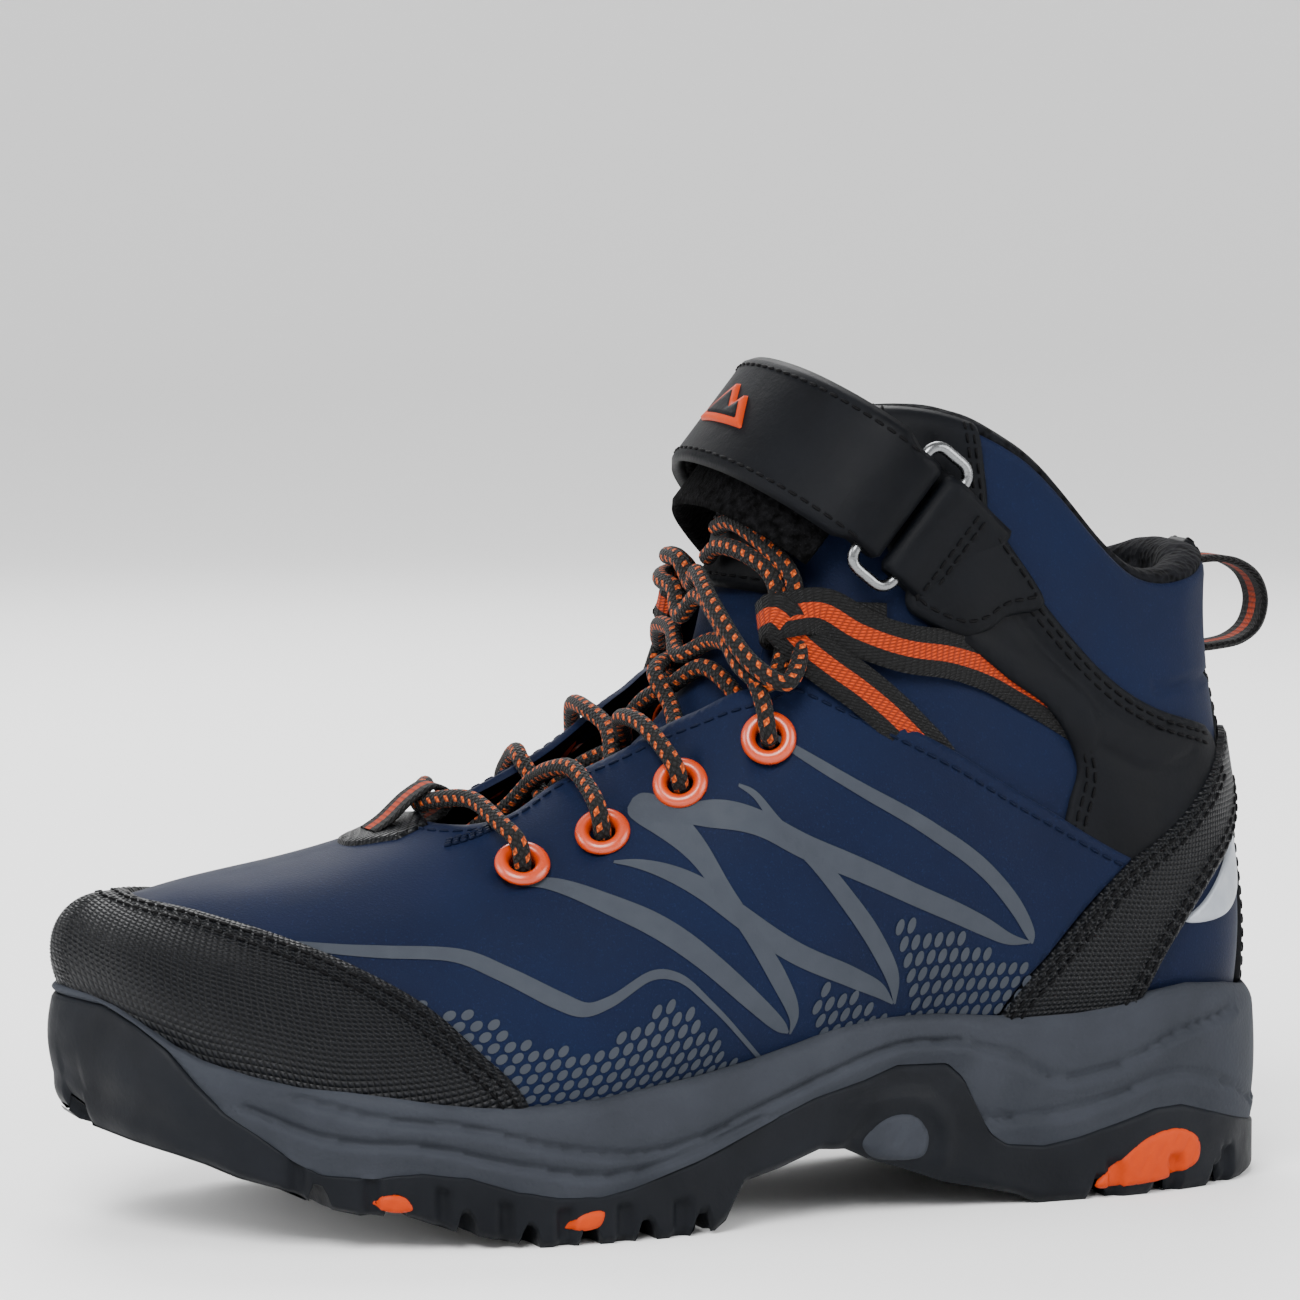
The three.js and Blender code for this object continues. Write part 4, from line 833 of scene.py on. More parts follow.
def foam_offset(s, z, share):
    """How far the foam wall stands out from the upper's edge; share runs from its foot to its top."""
    lip = np.clip((share - 0.86) / 0.14, 0, 1)
    out = 3.0 + 0.7 * np.sin(math.pi * np.clip(share, 0, 1)) - 1.5 * lip**2
    points = np.column_stack([s, z])
    for line in CARVED:
        dense = smooth_line(line, 1.5)
        gap = distance_to(points, dense[:-1], dense[1:])
        below = z < np.interp(s, *(dense[::-1] if dense[0, 0] > dense[-1, 0] else dense).T)
        swell = 0.7 * np.exp(-(gap / 3.2)**2) * np.where(below, 1, -0.35)
        out = out - 1.0 * np.exp(-(gap / 0.8)**2) + swell
    return out


def rubber_offset(s, z, share):
    """The rubber's wall, from the tread's edge (share 0) to the foam (share 1)."""
    low_edge = np.clip((0.18 - share) / 0.18, 0, 1)
    high_edge = np.clip((share - 0.93) / 0.07, 0, 1)
    out = 3.5 - 1.3 * low_edge**2 - 0.9 * high_edge**2
    points = np.column_stack([s, z])
    ring = smooth_line(SHANK_RING, 1.0)
    out = out + 0.8 * np.exp(-(distance_to(points, ring[:-1], ring[1:]) / 1.5)**2)
    for start, width in GROOVES:
        lug = np.clip((width / 2 + 0.3 - np.abs(s - start - width / 2)) / 0.7, 0, 1)
        out = out - 1.4 * lug * np.clip((7.5 - (z - level_of(TREAD, s))) / 1.5, 0, 1)
    toe = np.clip((s - 205) / 10, 0, 1)
    return out + toe * (1.1 * np.sin(math.pi * np.clip((share - 0.25) / 0.75, 0, 1)))


def wall_points(side, low, high, offset, shares):
    """One side of a wall: a row of points for each share of its height."""
    edge, normal = WALL_SIDES[side]
    rows = []
    for share in shares:
        s_mid = edge[:, 0] + 3 * normal[:, 0]
        bottom, top = low(s_mid, edge[:, 1]), high(s_mid)
        z = bottom + (np.maximum(top, bottom + 0.05) - bottom) * np.clip(share, 0, 1)
        out = offset(s_mid, z, np.full(len(z), share))
        rows.append(np.column_stack([edge + normal * out[:, None], z]))
    return rows


def add_wall(name, low, high, offset, shares, tuck, material, **kept):
    """A wall right round the sole, its top row tucked in under the upper."""
    outer = wall_points(0, low, high, offset, shares)
    inner = wall_points(1, low, high, offset, shares)
    rows = [np.vstack([a, b[::-1][1:-1]]) for a, b in zip(outer, inner)]
    last = rows[-1].copy()
    middle = np.column_stack([last[:, 0], np.zeros(len(last)) + last[:, 1].mean()])
    pull = unit(middle - last[:, :2]) * tuck
    last[:, :2] += pull
    last[:, 2] -= 1.2
    rows.append(last)
    points = np.vstack(rows)
    count = len(rows[0])
    uv = np.column_stack([points[:, 0], points[:, 2]])
    return grid_mesh(name, in_frame(points), len(rows), count, material, uv=uv, closed=True, **kept)


def on_wall(side, offset):
    """Maps a side view's (s, z) onto the sole's wall."""
    edge, normal = WALL_SIDES[side]
    s_here = edge[:, 0] + 3 * normal[:, 0]
    order = np.argsort(s_here)

    def place(xy, lift):
        s, z = xy.T
        out = offset(s, z) + lift
        base, way = (np.column_stack([np.interp(s, s_here[order], table[order, i]) for i in (0, 1)])
                     for table in (edge, normal))
        way = unit(way)
        return in_frame(np.column_stack([base + way * out[:, None], z]))

    return place


def rubber_here(s, z):
    low, high = level_of(TREAD, s), level_of(FOAM_FOOT, s)
    share = np.clip((z - low) / np.maximum(high - low, 0.1), 0, 1)
    return rubber_offset(s, z, share)


def between(sides, share):
    """Flat points across the sole, from its outer line to its inner line."""
    flat = sides[0][:, None] * (1 - share)[None, :, None] + sides[1][:, None] * share[None, :, None]
    return flat.reshape(-1, 2)


def add_sole():
    tread_edge = lambda s, t: level_of(TREAD, s) + groove_depth(s, t) * 0.9
    foot = lambda s: level_of(FOAM_FOOT, s)
    shares = np.concatenate([np.linspace(0, 0.2, 6)[:-1], np.linspace(0.2, 0.9, 12), [0.94, 0.97, 1.0]])
    add_wall("outsole_wall", tread_edge, foot, rubber_offset, shares, 1.5, RUBBER, nodes=["outsole"],
             slot="rubber")
    shares = np.concatenate([np.linspace(0, 0.84, 22), [0.88, 0.92, 0.95, 0.975, 1.0]])
    add_wall("midsole_wall", lambda s, t: foot(s) - 0.25, lambda s: level_of(FOAM_TOP, s), foam_offset,
             shares, 3.0, FOAM, nodes=["midsole"], slot="foam")

    bottoms = []
    for side in (0, 1):
        edge, normal = WALL_SIDES[side]
        s_mid = edge[:, 0] + 3 * normal[:, 0]
        z = tread_edge(s_mid, edge[:, 1])
        out = rubber_offset(s_mid, z, np.zeros(len(z)))
        bottoms.append(edge + normal * out[:, None])
    columns = 60
    flat = between(bottoms, np.linspace(0, 1, columns))
    z = level_of(TREAD, flat[:, 0]) + groove_depth(flat[:, 0], flat[:, 1])
    grid_mesh("outsole_tread", in_frame(np.column_stack([flat, z])), len(WALL_U), columns, RUBBER, uv=flat,
              slot="rubber")

    windows = {
        "heel_insert": ([(45.5, 2.4), (41, 6.6), (34.2, 11), (27.4, 11.8), (23.2, 9.4), (23.4, 5.2),
                         (29.6, 2.8),
                         (38.5, 1.9)], ORANGE_RUBBER, "orange_rubber"),
        "forefoot_insert_rear": ([(151.8, 3.2), (148.3, 5.9), (144.5, 6), (145.4, 3.2)], ORANGE_RUBBER,
                                 "orange_rubber"),
        "forefoot_insert_front": ([(185.4, 8.7), (183.2, 10.4), (179.6, 10), (178.4, 7.7), (181.6, 7.2)],
                                  ORANGE_RUBBER, "orange_rubber"),
        "shank_insert": (SHANK_OVAL, GREY_RUBBER, "window_grey"),
    }
    for name, (outline, material, slot) in windows.items():
        ring = loop_of(outline, 0.5)
        for side, word in ((0, "outer"), (1, "inner")):
            ribs = lambda xy: -0.22 * (np.abs(np.sin(xy[:, 0] * 1.15 + xy[:, 1] * 0.5)) < 0.22)
            patch(f"{name}_{word}_window", ring, material, 0.5, place=on_wall(side, rubber_here), rise=0.9,
                  roll=0.8, pitch=0.6, flip=side == 0, relief=ribs, nodes=[f"{name}_{word}"], slot=slot)


# ---------------------------------------------------------------- the upper's panels

PANEL_EDGE = [(0.562, 0.604), (0.527, 0.558), (0.487, 0.512), (0.425, 0.462), (0.345, 0.417), (0.268, 0.36)]
FACING = [(0.835, 0.945), (0.828, 0.882), (0.815, 0.825), (0.797, 0.803), (0.763, 0.835), (0.700, 0.742),
          (0.657, 0.675), (0.593, 0.602), (0.562, 0.604)]
STRAP_FRONT = [(0.126, 0.568), (0.27, 0.358), (0.31, 0.242), (0.345, 0.121), (0.366, 0.05), (0.388, -0.06)]
STRAP_REAR = [(0.062, 0.478), (0.103, 0.40), (0.175, 0.292), (0.21, 0.204), (0.235, 0.113), (0.262, -0.06)]
CAP_EDGE = [(0.783, -0.06), (0.787, 0.02), (0.797, 0.087), (0.823, 0.192), (0.850, 0.304), (0.885, 0.429),
            (0.917, 0.554), (0.950, 0.70), (0.975, 0.86), (0.984, 1.0)]
OVERLAY_TOP = [(0.135, 0.655), (0.228, 0.725), (0.30, 0.75), (0.35, 0.792), (0.40, 0.854), (0.403, 0.929),
               (0.408, 1.045)]
OVERLAY_FRONT = [(0.52, 1.045), (0.507, 0.9), (0.497, 0.78), (0.487, 0.729), (0.453, 0.662), (0.395, 0.621),
                 (0.345, 0.596), (0.320, 0.525), (0.328, 0.446), (0.335, 0.38)]


def front_level(xy):
    """The navy front: high where it lies on the ankle panels, low under the toe cap."""
    u = np.abs(xy[:, 0]) / CHART_X
    v = np.where(xy[:, 1] > CHART_Y, 2 - xy[:, 1] / CHART_Y, xy[:, 1] / CHART_Y)
    step = np.clip((0.84 - u) / 0.1, 0, 1)
    step = step * step * (3 - 2 * step)
    sole = np.clip(v / 0.12, 0, 1)
    return 0.35 + 1.5 * step * (0.45 + 0.55 * sole)


FRONT_WAVE = (0.35, 16.0)


def front_skin(xy):
    """The navy front with its own slight waves, for what is sewn or printed on it."""
    return front_level(xy) + FRONT_WAVE[0] * wave_of(xy, FRONT_WAVE[1], 3.7)


def over(level, extra):
    """The same level raised by a little."""
    return lambda xy: level(xy) + extra


def mirror_both(build):
    """Builds a thing on the outer side, then its mirror on the inner side."""
    for flip, side in ((False, "outer"), (True, "inner")):
        build(flip, side)


def add_front():
    facing = chart(FACING)
    edge = chart(PANEL_EDGE)
    front = chart([(0.268, 0.36)] + STRAP_FRONT[2:])
    bottom = chart([(0.388, -0.06), (0.6, -0.06), (0.8, -0.06), (1.0, -0.06)])
    toe = np.array([(CHART_X, -0.06 * CHART_Y), (CHART_X, 2.06 * CHART_Y)])
    throat = chart([(0.835, 1.055), (0.8375, 1.0), (0.835, 0.945)])
    ring = ring_of(front, bottom, toe, other_side(bottom), other_side(front), other_side(edge),
                   other_side(facing), throat, facing, edge)
    holes = eyelet_dips()
    patch("front_cloth", ring, NAVY, front_level, place=on_front, rise=1.5, roll=1.1, seam=CHART_X,
          wave=FRONT_WAVE[0], wave_size=FRONT_WAVE[1], relief=holes,
          nodes=["side_panel_outer", "side_panel_inner", "vamp"], slot="navy_cloth")
    rows = []
    for line in (edge, facing):
        rows += [shifted(smooth_line(line, 1), 2.6)]
        rows += [shifted(smooth_line(other_side(line), 1), 2.6)]
    rows = [keep_on(row, ring) for row in rows]
    stitches("front_stitching", [row for row in rows if len(row) > 3], NAVY_THREAD,
             over(front_skin, 0.1), place=on_front, slot="navy_cloth")
    tack = []
    for shift in (-0.8, 0, 0.8):
        line = smooth_line(chart([(0.832, 0.780), (0.815, 0.770), (0.799, 0.776)]), 1)
        tack += [shifted(line, shift), other_side(shifted(line, shift))]
    stitches("bar_tacks", tack, NAVY_THREAD, over(front_skin, 0.15), place=on_front, pitch=1.5,
             length=1.4, radius=0.4, slot="navy_cloth")


def keep_on(line, ring):
    """The points of a line that are on the panel."""
    return line[inside(line, ring)]


EYELETS = [(0.792, 0.621), (0.735, 0.608), (0.675, 0.575), (0.588, 0.521)]


def eyelet_dips():
    """Sinks the cloth under each eyelet's flange and opens its hole."""
    centres = np.vstack([chart(EYELETS), other_side(chart(EYELETS))])

    def relief(xy):
        gap = np.linalg.norm(xy[:, None] - centres[None], axis=2).min(1)
        return -1.2 * np.clip((5.2 - gap) / 2.4, 0, 1) - 6 * np.clip((2.2 - gap) / 0.8, 0, 1)

    return relief


def add_rear():
    # The navy cloth round the ankle, rolled over the collar's rim.
    rim = [(-RIM_END / CHART_X, 1.03), (0, 1.03), (RIM_END / CHART_X, 1.03)]
    end = [(0.584, 1.03), (0.584, 0.98), (0.565, 0.8), (0.60, 0.6), (0.62, 0.4), (0.62, -0.06)]
    low = chart([(0.62, -0.06), (-0.62, -0.06)])
    ring = ring_of(chart(end), low, chart(end, True)[::-1], chart(rim))
    seam_height = 0.742 * CHART_Y

    def seam(xy):
        gap = np.abs(xy[:, 1] - seam_height - np.abs(xy[:, 0]) * 0.05)
        return -0.9 * np.exp(-(gap / 0.9)**2) * (np.abs(xy[:, 0]) < 58)

    patch("quarter_cloth", ring, NAVY, 0.0, rise=0.6, roll=1.0, pitch=1.6, wave=0.45, wave_size=22,
          relief=seam,
          nodes=["quarter_outer", "quarter_inner"], slot="navy_cloth")

    def overlay(flip, side):
        top, front = chart(OVERLAY_TOP, flip), chart(OVERLAY_FRONT, flip)
        cross = chart([(0.408, 1.045), (0.52, 1.045)], flip)
        foot = chart([(0.335, 0.38), (0.28, 0.33), (0.22, 0.40), (0.13, 0.53), (0.11, 0.60),
                      (0.135, 0.655)], flip)
        ring = ring_of(top, cross, front, foot)
        creases = [smooth_line(chart(line, flip), 1.5) for line in (
            [(0.20, 0.68), (0.27, 0.66), (0.33, 0.69), (0.40, 0.76)],
            [(0.17, 0.60), (0.24, 0.57), (0.30, 0.58)], [(0.44, 0.74), (0.45, 0.85), (0.455, 0.98)])]

        arm = smooth_line(chart([(0.425, 0.624), (0.37, 0.622), (0.32, 0.615)], flip), 1.5)

        def relief(xy):
            out = np.zeros(len(xy))
            for line in creases:
                out -= 0.55 * np.exp(-(distance_to(xy, line[:-1], line[1:]) / 1.0)**2)
            return out + 1.3 * np.exp(-(distance_to(xy, arm[:-1], arm[1:]) / 5.6)**4)

        patch(f"ankle_overlay_{side}_panel", ring, NUBUCK, 1.1, rise=1.1, roll=1.0, wave=0.3, wave_size=12,
              relief=relief, nodes=[f"ankle_overlay_{side}"], slot="black_synthetic")
        sign = 1 if flip else -1
        rows = []
        for distance in (2.2, 4.2):
            for line in (top, front):
                rows.append(keep_on(shifted(smooth_line(line, 1), sign * distance), ring))
        stitches(f"ankle_overlay_{side}_stitching", [r for r in rows if len(r) > 3], BLACK_THREAD, 1.15,
                 slot="black_synthetic")

    mirror_both(overlay)

    def heel_strap(flip, side):
        front, rear = chart(STRAP_FRONT, flip), chart(STRAP_REAR[::-1], flip)
        top = chart([(0.062, 0.478), (0.045, 0.56), (0.06, 0.625), (0.126, 0.568)], flip)
        ring = ring_of(front, chart([(0.388, -0.06), (0.262, -0.06)], flip), rear, top)
        patch(f"heel_strap_{side}_panel", ring, TEXTURED, 2.3, rise=1.5, roll=1.0, pitch=1.2,
              nodes=[f"heel_strap_{side}"], slot="textured_synthetic")
        sign = 1 if flip else -1
        rows = [shifted(smooth_line(line, 1), sign * distance) for line in (front, rear)
                for distance in (1.9, 4.0)]
        rows = [keep_on(row, ring) for row in rows]
        stitches(f"heel_strap_{side}_stitching", rows, BLACK_THREAD, 2.35, slot="textured_synthetic")
        shine = loop_of(chart([(0.205, 0.20), (0.175, 0.245), (0.12, 0.34), (0.082, 0.395), (0.07, 0.36),
                               (0.085, 0.27), (0.13, 0.20), (0.17, 0.185)], flip), 0.8)
        patch(f"heel_reflector_{side}_film", shine, REFLECT, 0.75, rise=0.6, roll=0.5,
              nodes=[f"heel_reflector_{side}"], slot="reflector")

    mirror_both(heel_strap)
    stay = chart([(0.048, -0.06), (0.046, 0.3), (0.045, 0.6), (0.026, 0.78), (0.024, 0.92), (0.024, 1.06)])
    ring = ring_of(stay, chart([(0.024, 1.06), (-0.024, 1.06)]), (stay * (-1, 1))[::-1],
                   chart([(-0.048, -0.06), (0.048, -0.06)]))
    patch("backstay_panel", ring, NUBUCK, 1.6, rise=1.3, roll=0.9, nodes=["backstay"], slot="black_synthetic")
    row = shifted(smooth_line(stay, 1), 1.8)
    stitches("backstay_stitching", [row, row * (-1, 1)], BLACK_THREAD, 1.65, slot="black_synthetic")


def around_toe(points):
    """Even millimetres round the toe and up it, so that the grain keeps its size."""
    centre = 172
    s, t, z = MIDDLE_S - 1000 * points[:, 0], MIDDLE_T - 1000 * points[:, 1], 1000 * points[:, 2]
    angle, radius = np.arctan2(t, s - centre), np.hypot(s - centre, t)
    return np.column_stack([angle * 46, z + 48 - radius])


def add_toe_cap():
    edge = chart(CAP_EDGE)
    seam = np.array([(CHART_X, 2.06 * CHART_Y), (CHART_X, -0.06 * CHART_Y)])
    low = chart([(1.0, -0.06), (0.9, -0.06), (0.783, -0.06)])
    ring = ring_of(edge, other_side(edge), other_side(low), seam, low)
    patch("toe_cap_panel", ring, TEXTURED, 1.75, rise=1.4, roll=1.0, pitch=1.2, seam=CHART_X,
          around=around_toe, nodes=["toe_cap"], slot="textured_synthetic")
    rows = []
    for distance in (2.2, 4.6):
        line = shifted(smooth_line(edge, 1), -distance)
        rows += [keep_on(line, ring), keep_on(other_side(line), ring)]
    stitches("toe_cap_stitching", rows, BLACK_THREAD, 1.8, pitch=2.3, length=1.8, slot="textured_synthetic")


# ---------------------------------------------------------------- grey print

def ribbon(points, faces, line):
    """Adds one printed stroke: (u, v, width in millimetres) along its middle."""
    table = np.array(line, float)
    flat = np.column_stack([table[:, 0] * CHART_X, table[:, 1] * CHART_Y, table[:, 2]])
    dense = smooth_line(flat, 0.8)
    middle, width = dense[:, :2], np.maximum(dense[:, 2], 0.25)
    left = left_of(middle)
    columns = 7
    first = len(points)
    for i in range(len(middle)):
        for f in np.linspace(-0.5, 0.5, columns):
            points.append(middle[i] + left[i] * width[i] * f)
    for i in range(len(middle) - 1):
        for j in range(columns - 1):
            a = first + i * columns + j
            faces.append((a, a + 1, a + 1 + columns, a + columns))


STROKES = [
    [(0.915, 0.530, 2.0), (0.895, 0.500, 3.0), (0.873, 0.478, 3.4), (0.835, 0.442, 3.0), (0.807, 0.375, 3.0),
     (0.770, 0.285, 3.2), (0.750, 0.248, 2.8), (0.733, 0.25, 2.4), (0.703, 0.271, 1.8), (0.682, 0.246, 1.3),
     (0.652, 0.163, 1.0), (0.59, -0.02, 0.8)],
    [(0.792, 0.58, 1.4), (0.775, 0.555, 2.2), (0.715, 0.404, 3.2), (0.662, 0.263, 3.4), (0.610, 0.130, 3.2),
     (0.583, 0.062, 2.0), (0.576, 0.045, 0.4)],
    [(0.574, 0.040, 0.4), (0.573, 0.075, 2.0), (0.588, 0.154, 3.2), (0.610, 0.242, 3.0), (0.638, 0.342, 3.0),
     (0.662, 0.438, 3.6), (0.690, 0.540, 4.4), (0.704, 0.590, 4.2), (0.711, 0.614, 3.2), (0.714, 0.624, 1.4)],
    [(0.585, 0.525, 0.5), (0.568, 0.492, 1.2), (0.522, 0.417, 1.8), (0.463, 0.346, 2.4), (0.408, 0.280, 2.9),
     (0.380, 0.225, 3.0), (0.364, 0.172, 2.0), (0.362, 0.155, 0.4)],
    [(0.364, 0.158, 0.4), (0.383, 0.163, 2.0), (0.408, 0.185, 3.1), (0.485, 0.254, 3.2), (0.560, 0.345, 3.2),
     (0.598, 0.407, 3.2), (0.647, 0.480, 3.6), (0.667, 0.510, 3.0), (0.700, 0.565, 2.0)],
    [(0.618, 0.485, 0.4), (0.603, 0.454, 1.0), (0.585, 0.396, 1.7), (0.560, 0.333, 2.3), (0.535, 0.258, 2.8),
     (0.508, 0.175, 3.2), (0.488, 0.100, 2.6), (0.482, 0.050, 0.4)],
    [(0.484, 0.052, 0.4), (0.500, 0.085, 2.4), (0.525, 0.120, 3.1), (0.570, 0.185, 3.2), (0.623, 0.290, 3.2),
     (0.662, 0.380, 2.8), (0.713, 0.50, 1.2), (0.728, 0.53, 0.4)],
]
DOT_ZONES = [
    [(0.86, 0.33), (0.833, 0.300), (0.782, 0.190), (0.745, 0.145), (0.700, 0.204), (0.675, 0.185),
     (0.618, 0.004),
     (0.70, -0.02), (0.79, 0.0)],
    [(0.560, 0.139), (0.525, 0.095), (0.485, 0.02), (0.545, -0.01)],
    [(0.495, 0.214), (0.425, 0.164), (0.345, 0.083), (0.375, -0.02), (0.465, -0.01)],
]


DOT_PITCH = 2.75
DOT_SIDES = 14
DOT_HALF_AXES = (1.3, 0.92)
DOT_LEAN = math.radians(116)


def dot(points, faces, centre):
    """Adds one small leaning oval."""
    first = len(points)
    points.append(centre)
    for k in range(DOT_SIDES):
        angle = 2 * math.pi * k / DOT_SIDES
        long, short = DOT_HALF_AXES[0] * math.cos(angle), DOT_HALF_AXES[1] * math.sin(angle)
        points.append(centre + (long * math.cos(DOT_LEAN) - short * math.sin(DOT_LEAN),
                                long * math.sin(DOT_LEAN) + short * math.cos(DOT_LEAN)))
    faces += [(first, first + 1 + k, first + 1 + (k + 1) % DOT_SIDES) for k in range(DOT_SIDES)]


def lay_print(name, points, faces, flip):
    flat = np.array(points)
    chosen = other_points(flat) if flip else flat
    placed = on_front(chosen, front_skin(chosen) + 0.16)
    faces = faces if flip else [face[::-1] for face in faces]
    add_mesh(name, placed, faces, PRINT, uv=flat, slot="navy_cloth")


def add_print():
    def both(flip, side):
        points, faces = [], []
        for line in STROKES:
            ribbon(points, faces, line)
        lay_print(f"print_lines_{side}", points, faces, flip)

        points, faces = [], []
        for zone in DOT_ZONES:
            outline = chart(zone)
            low, high = outline.min(0), outline.max(0)
            for row, y in enumerate(np.arange(low[1], high[1], DOT_PITCH)):
                for x in np.arange(low[0] + (row % 2) * DOT_PITCH / 2, high[0], DOT_PITCH):
                    centre = np.array([x, y])
                    if inside(centre[None], outline)[0]:
                        dot(points, faces, centre)
        lay_print(f"print_dots_{side}", points, faces, flip)

    mirror_both(both)


def other_points(points):
    """The same points on the inner side of the toe chart."""
    return np.column_stack([points[:, 0], 2 * CHART_Y - points[:, 1]])


# ---------------------------------------------------------------- lining, collar and footbed

def add_lining():
    thin = 5.4
    columns = np.concatenate([-np.linspace(0.58, 0, 70), np.linspace(0, 0.58, 70)[1:]])
    angles = np.linspace(22, 180, 16)
    downs = np.linspace(1, 0.0, 34)
    rows = []
    for angle in angles:
        past_rim = CHART_Y + math.radians(angle) * ROLL_RADIUS
        xy = np.column_stack([columns * CHART_X, np.full(len(columns), past_rim)])
        lift = np.interp(angle, (22, 42, 140, 180), (-0.9, 0.5, 0.5, -0.25))
        rows.append(on_upper(xy, lift + 0.3 * wave_of(xy, 9, 6.3)))
    for v in downs:
        xy = np.column_stack([columns * CHART_X, np.full(len(columns), v * CHART_Y - 0.01)])
        pad = np.clip((v - 0.45) / 0.17, 0, 1)
        swell = 1.1 * math.sin(math.pi * min(1.0, max(0.0, (v - 0.6) / 0.4)))
        lift = -(thin + (2 * ROLL_RADIUS - thin - 0.25) * pad * pad * (3 - 2 * pad)) - swell
        bumps = 0.4 * wave_of(xy, 11, 9.1)
        rows.append(on_upper(xy, lift + bumps))
    count = len(columns)
    uv = np.array([(x * CHART_X, i * 2.5) for i in range(len(rows)) for x in columns])
    collar = grid_mesh("collar_lining", np.vstack(rows), len(rows), count, LINING, uv=uv, flip=True,
                       nodes=["quarter_lining", "collar_foam"], slot="lining_cloth")

    columns = np.linspace(0.55, 1.0, 60)
    edge = np.array(FACING)[::-1]
    rows = []
    for u in columns:
        limit = np.interp(u, edge[:, 0], edge[:, 1] - 0.01, right=1.0)
        limit = 1.0 if u > 0.835 else limit
        half = np.linspace(0, limit, 36)
        rows.append(np.column_stack([np.full(36, u * CHART_X), half * CHART_Y]))
    for flip, side in ((False, "outer"), (True, "inner")):
        flat = np.vstack(rows)
        chosen = other_points(flat) if flip else flat
        grid_mesh(f"vamp_lining_{side}_sheet", on_front(chosen, -2.2), len(columns), 36, LINING, uv=flat,
                  flip=not flip, nodes=["vamp_lining"] if flip else [], slot="lining_cloth")

    share = np.linspace(0, 1, 40)
    u = 0.5 - 0.5 * np.cos(np.linspace(0.06, math.pi - 0.05, 160))
    sides = [surface(np.full(len(u), k), u, 0)[:, :2] - 5.5 * unit(outward(np.full(len(u), k), u, 0.1)[:, :2])
             for k in (0, 1)]
    flat = between(sides, share)
    dish = np.tile((2 * share - 1)**4 * 3.0, len(u))
    feather = np.array([(-1, 35), (20, 35.5), (60, 34.2), (80, 33.8), (98, 32), (112, 29.8), (127, 26.8),
                        (146, 23.8), (166, 22.8), (186, 24.6), (207, 29.4), (216, 33), (226, 39.4)])
    z = level_of(feather, flat[:, 0]) + 7.4 + dish
    grid_mesh("footbed_top", in_frame(np.column_stack([flat, z])), len(u), 40, LINING, uv=flat, flip=True,
              nodes=["footbed"], slot="lining_cloth")


# ---------------------------------------------------------------- tongue

TONGUE = np.array([(156.5, 61, 12, 7), (143.8, 66.8, 14, 8.5), (131.4, 74, 16, 11), (120.4, 82.2, 17, 13),
                   (111.4, 92.8, 18, 14), (106, 110.5, 18.5, 14), (101.5, 128, 15.5, 12), (95, 147, 11.5, 9)])


TONGUE_TURN = math.radians(80)
TONGUE_LONG = 110
TONGUE_HALF = 22


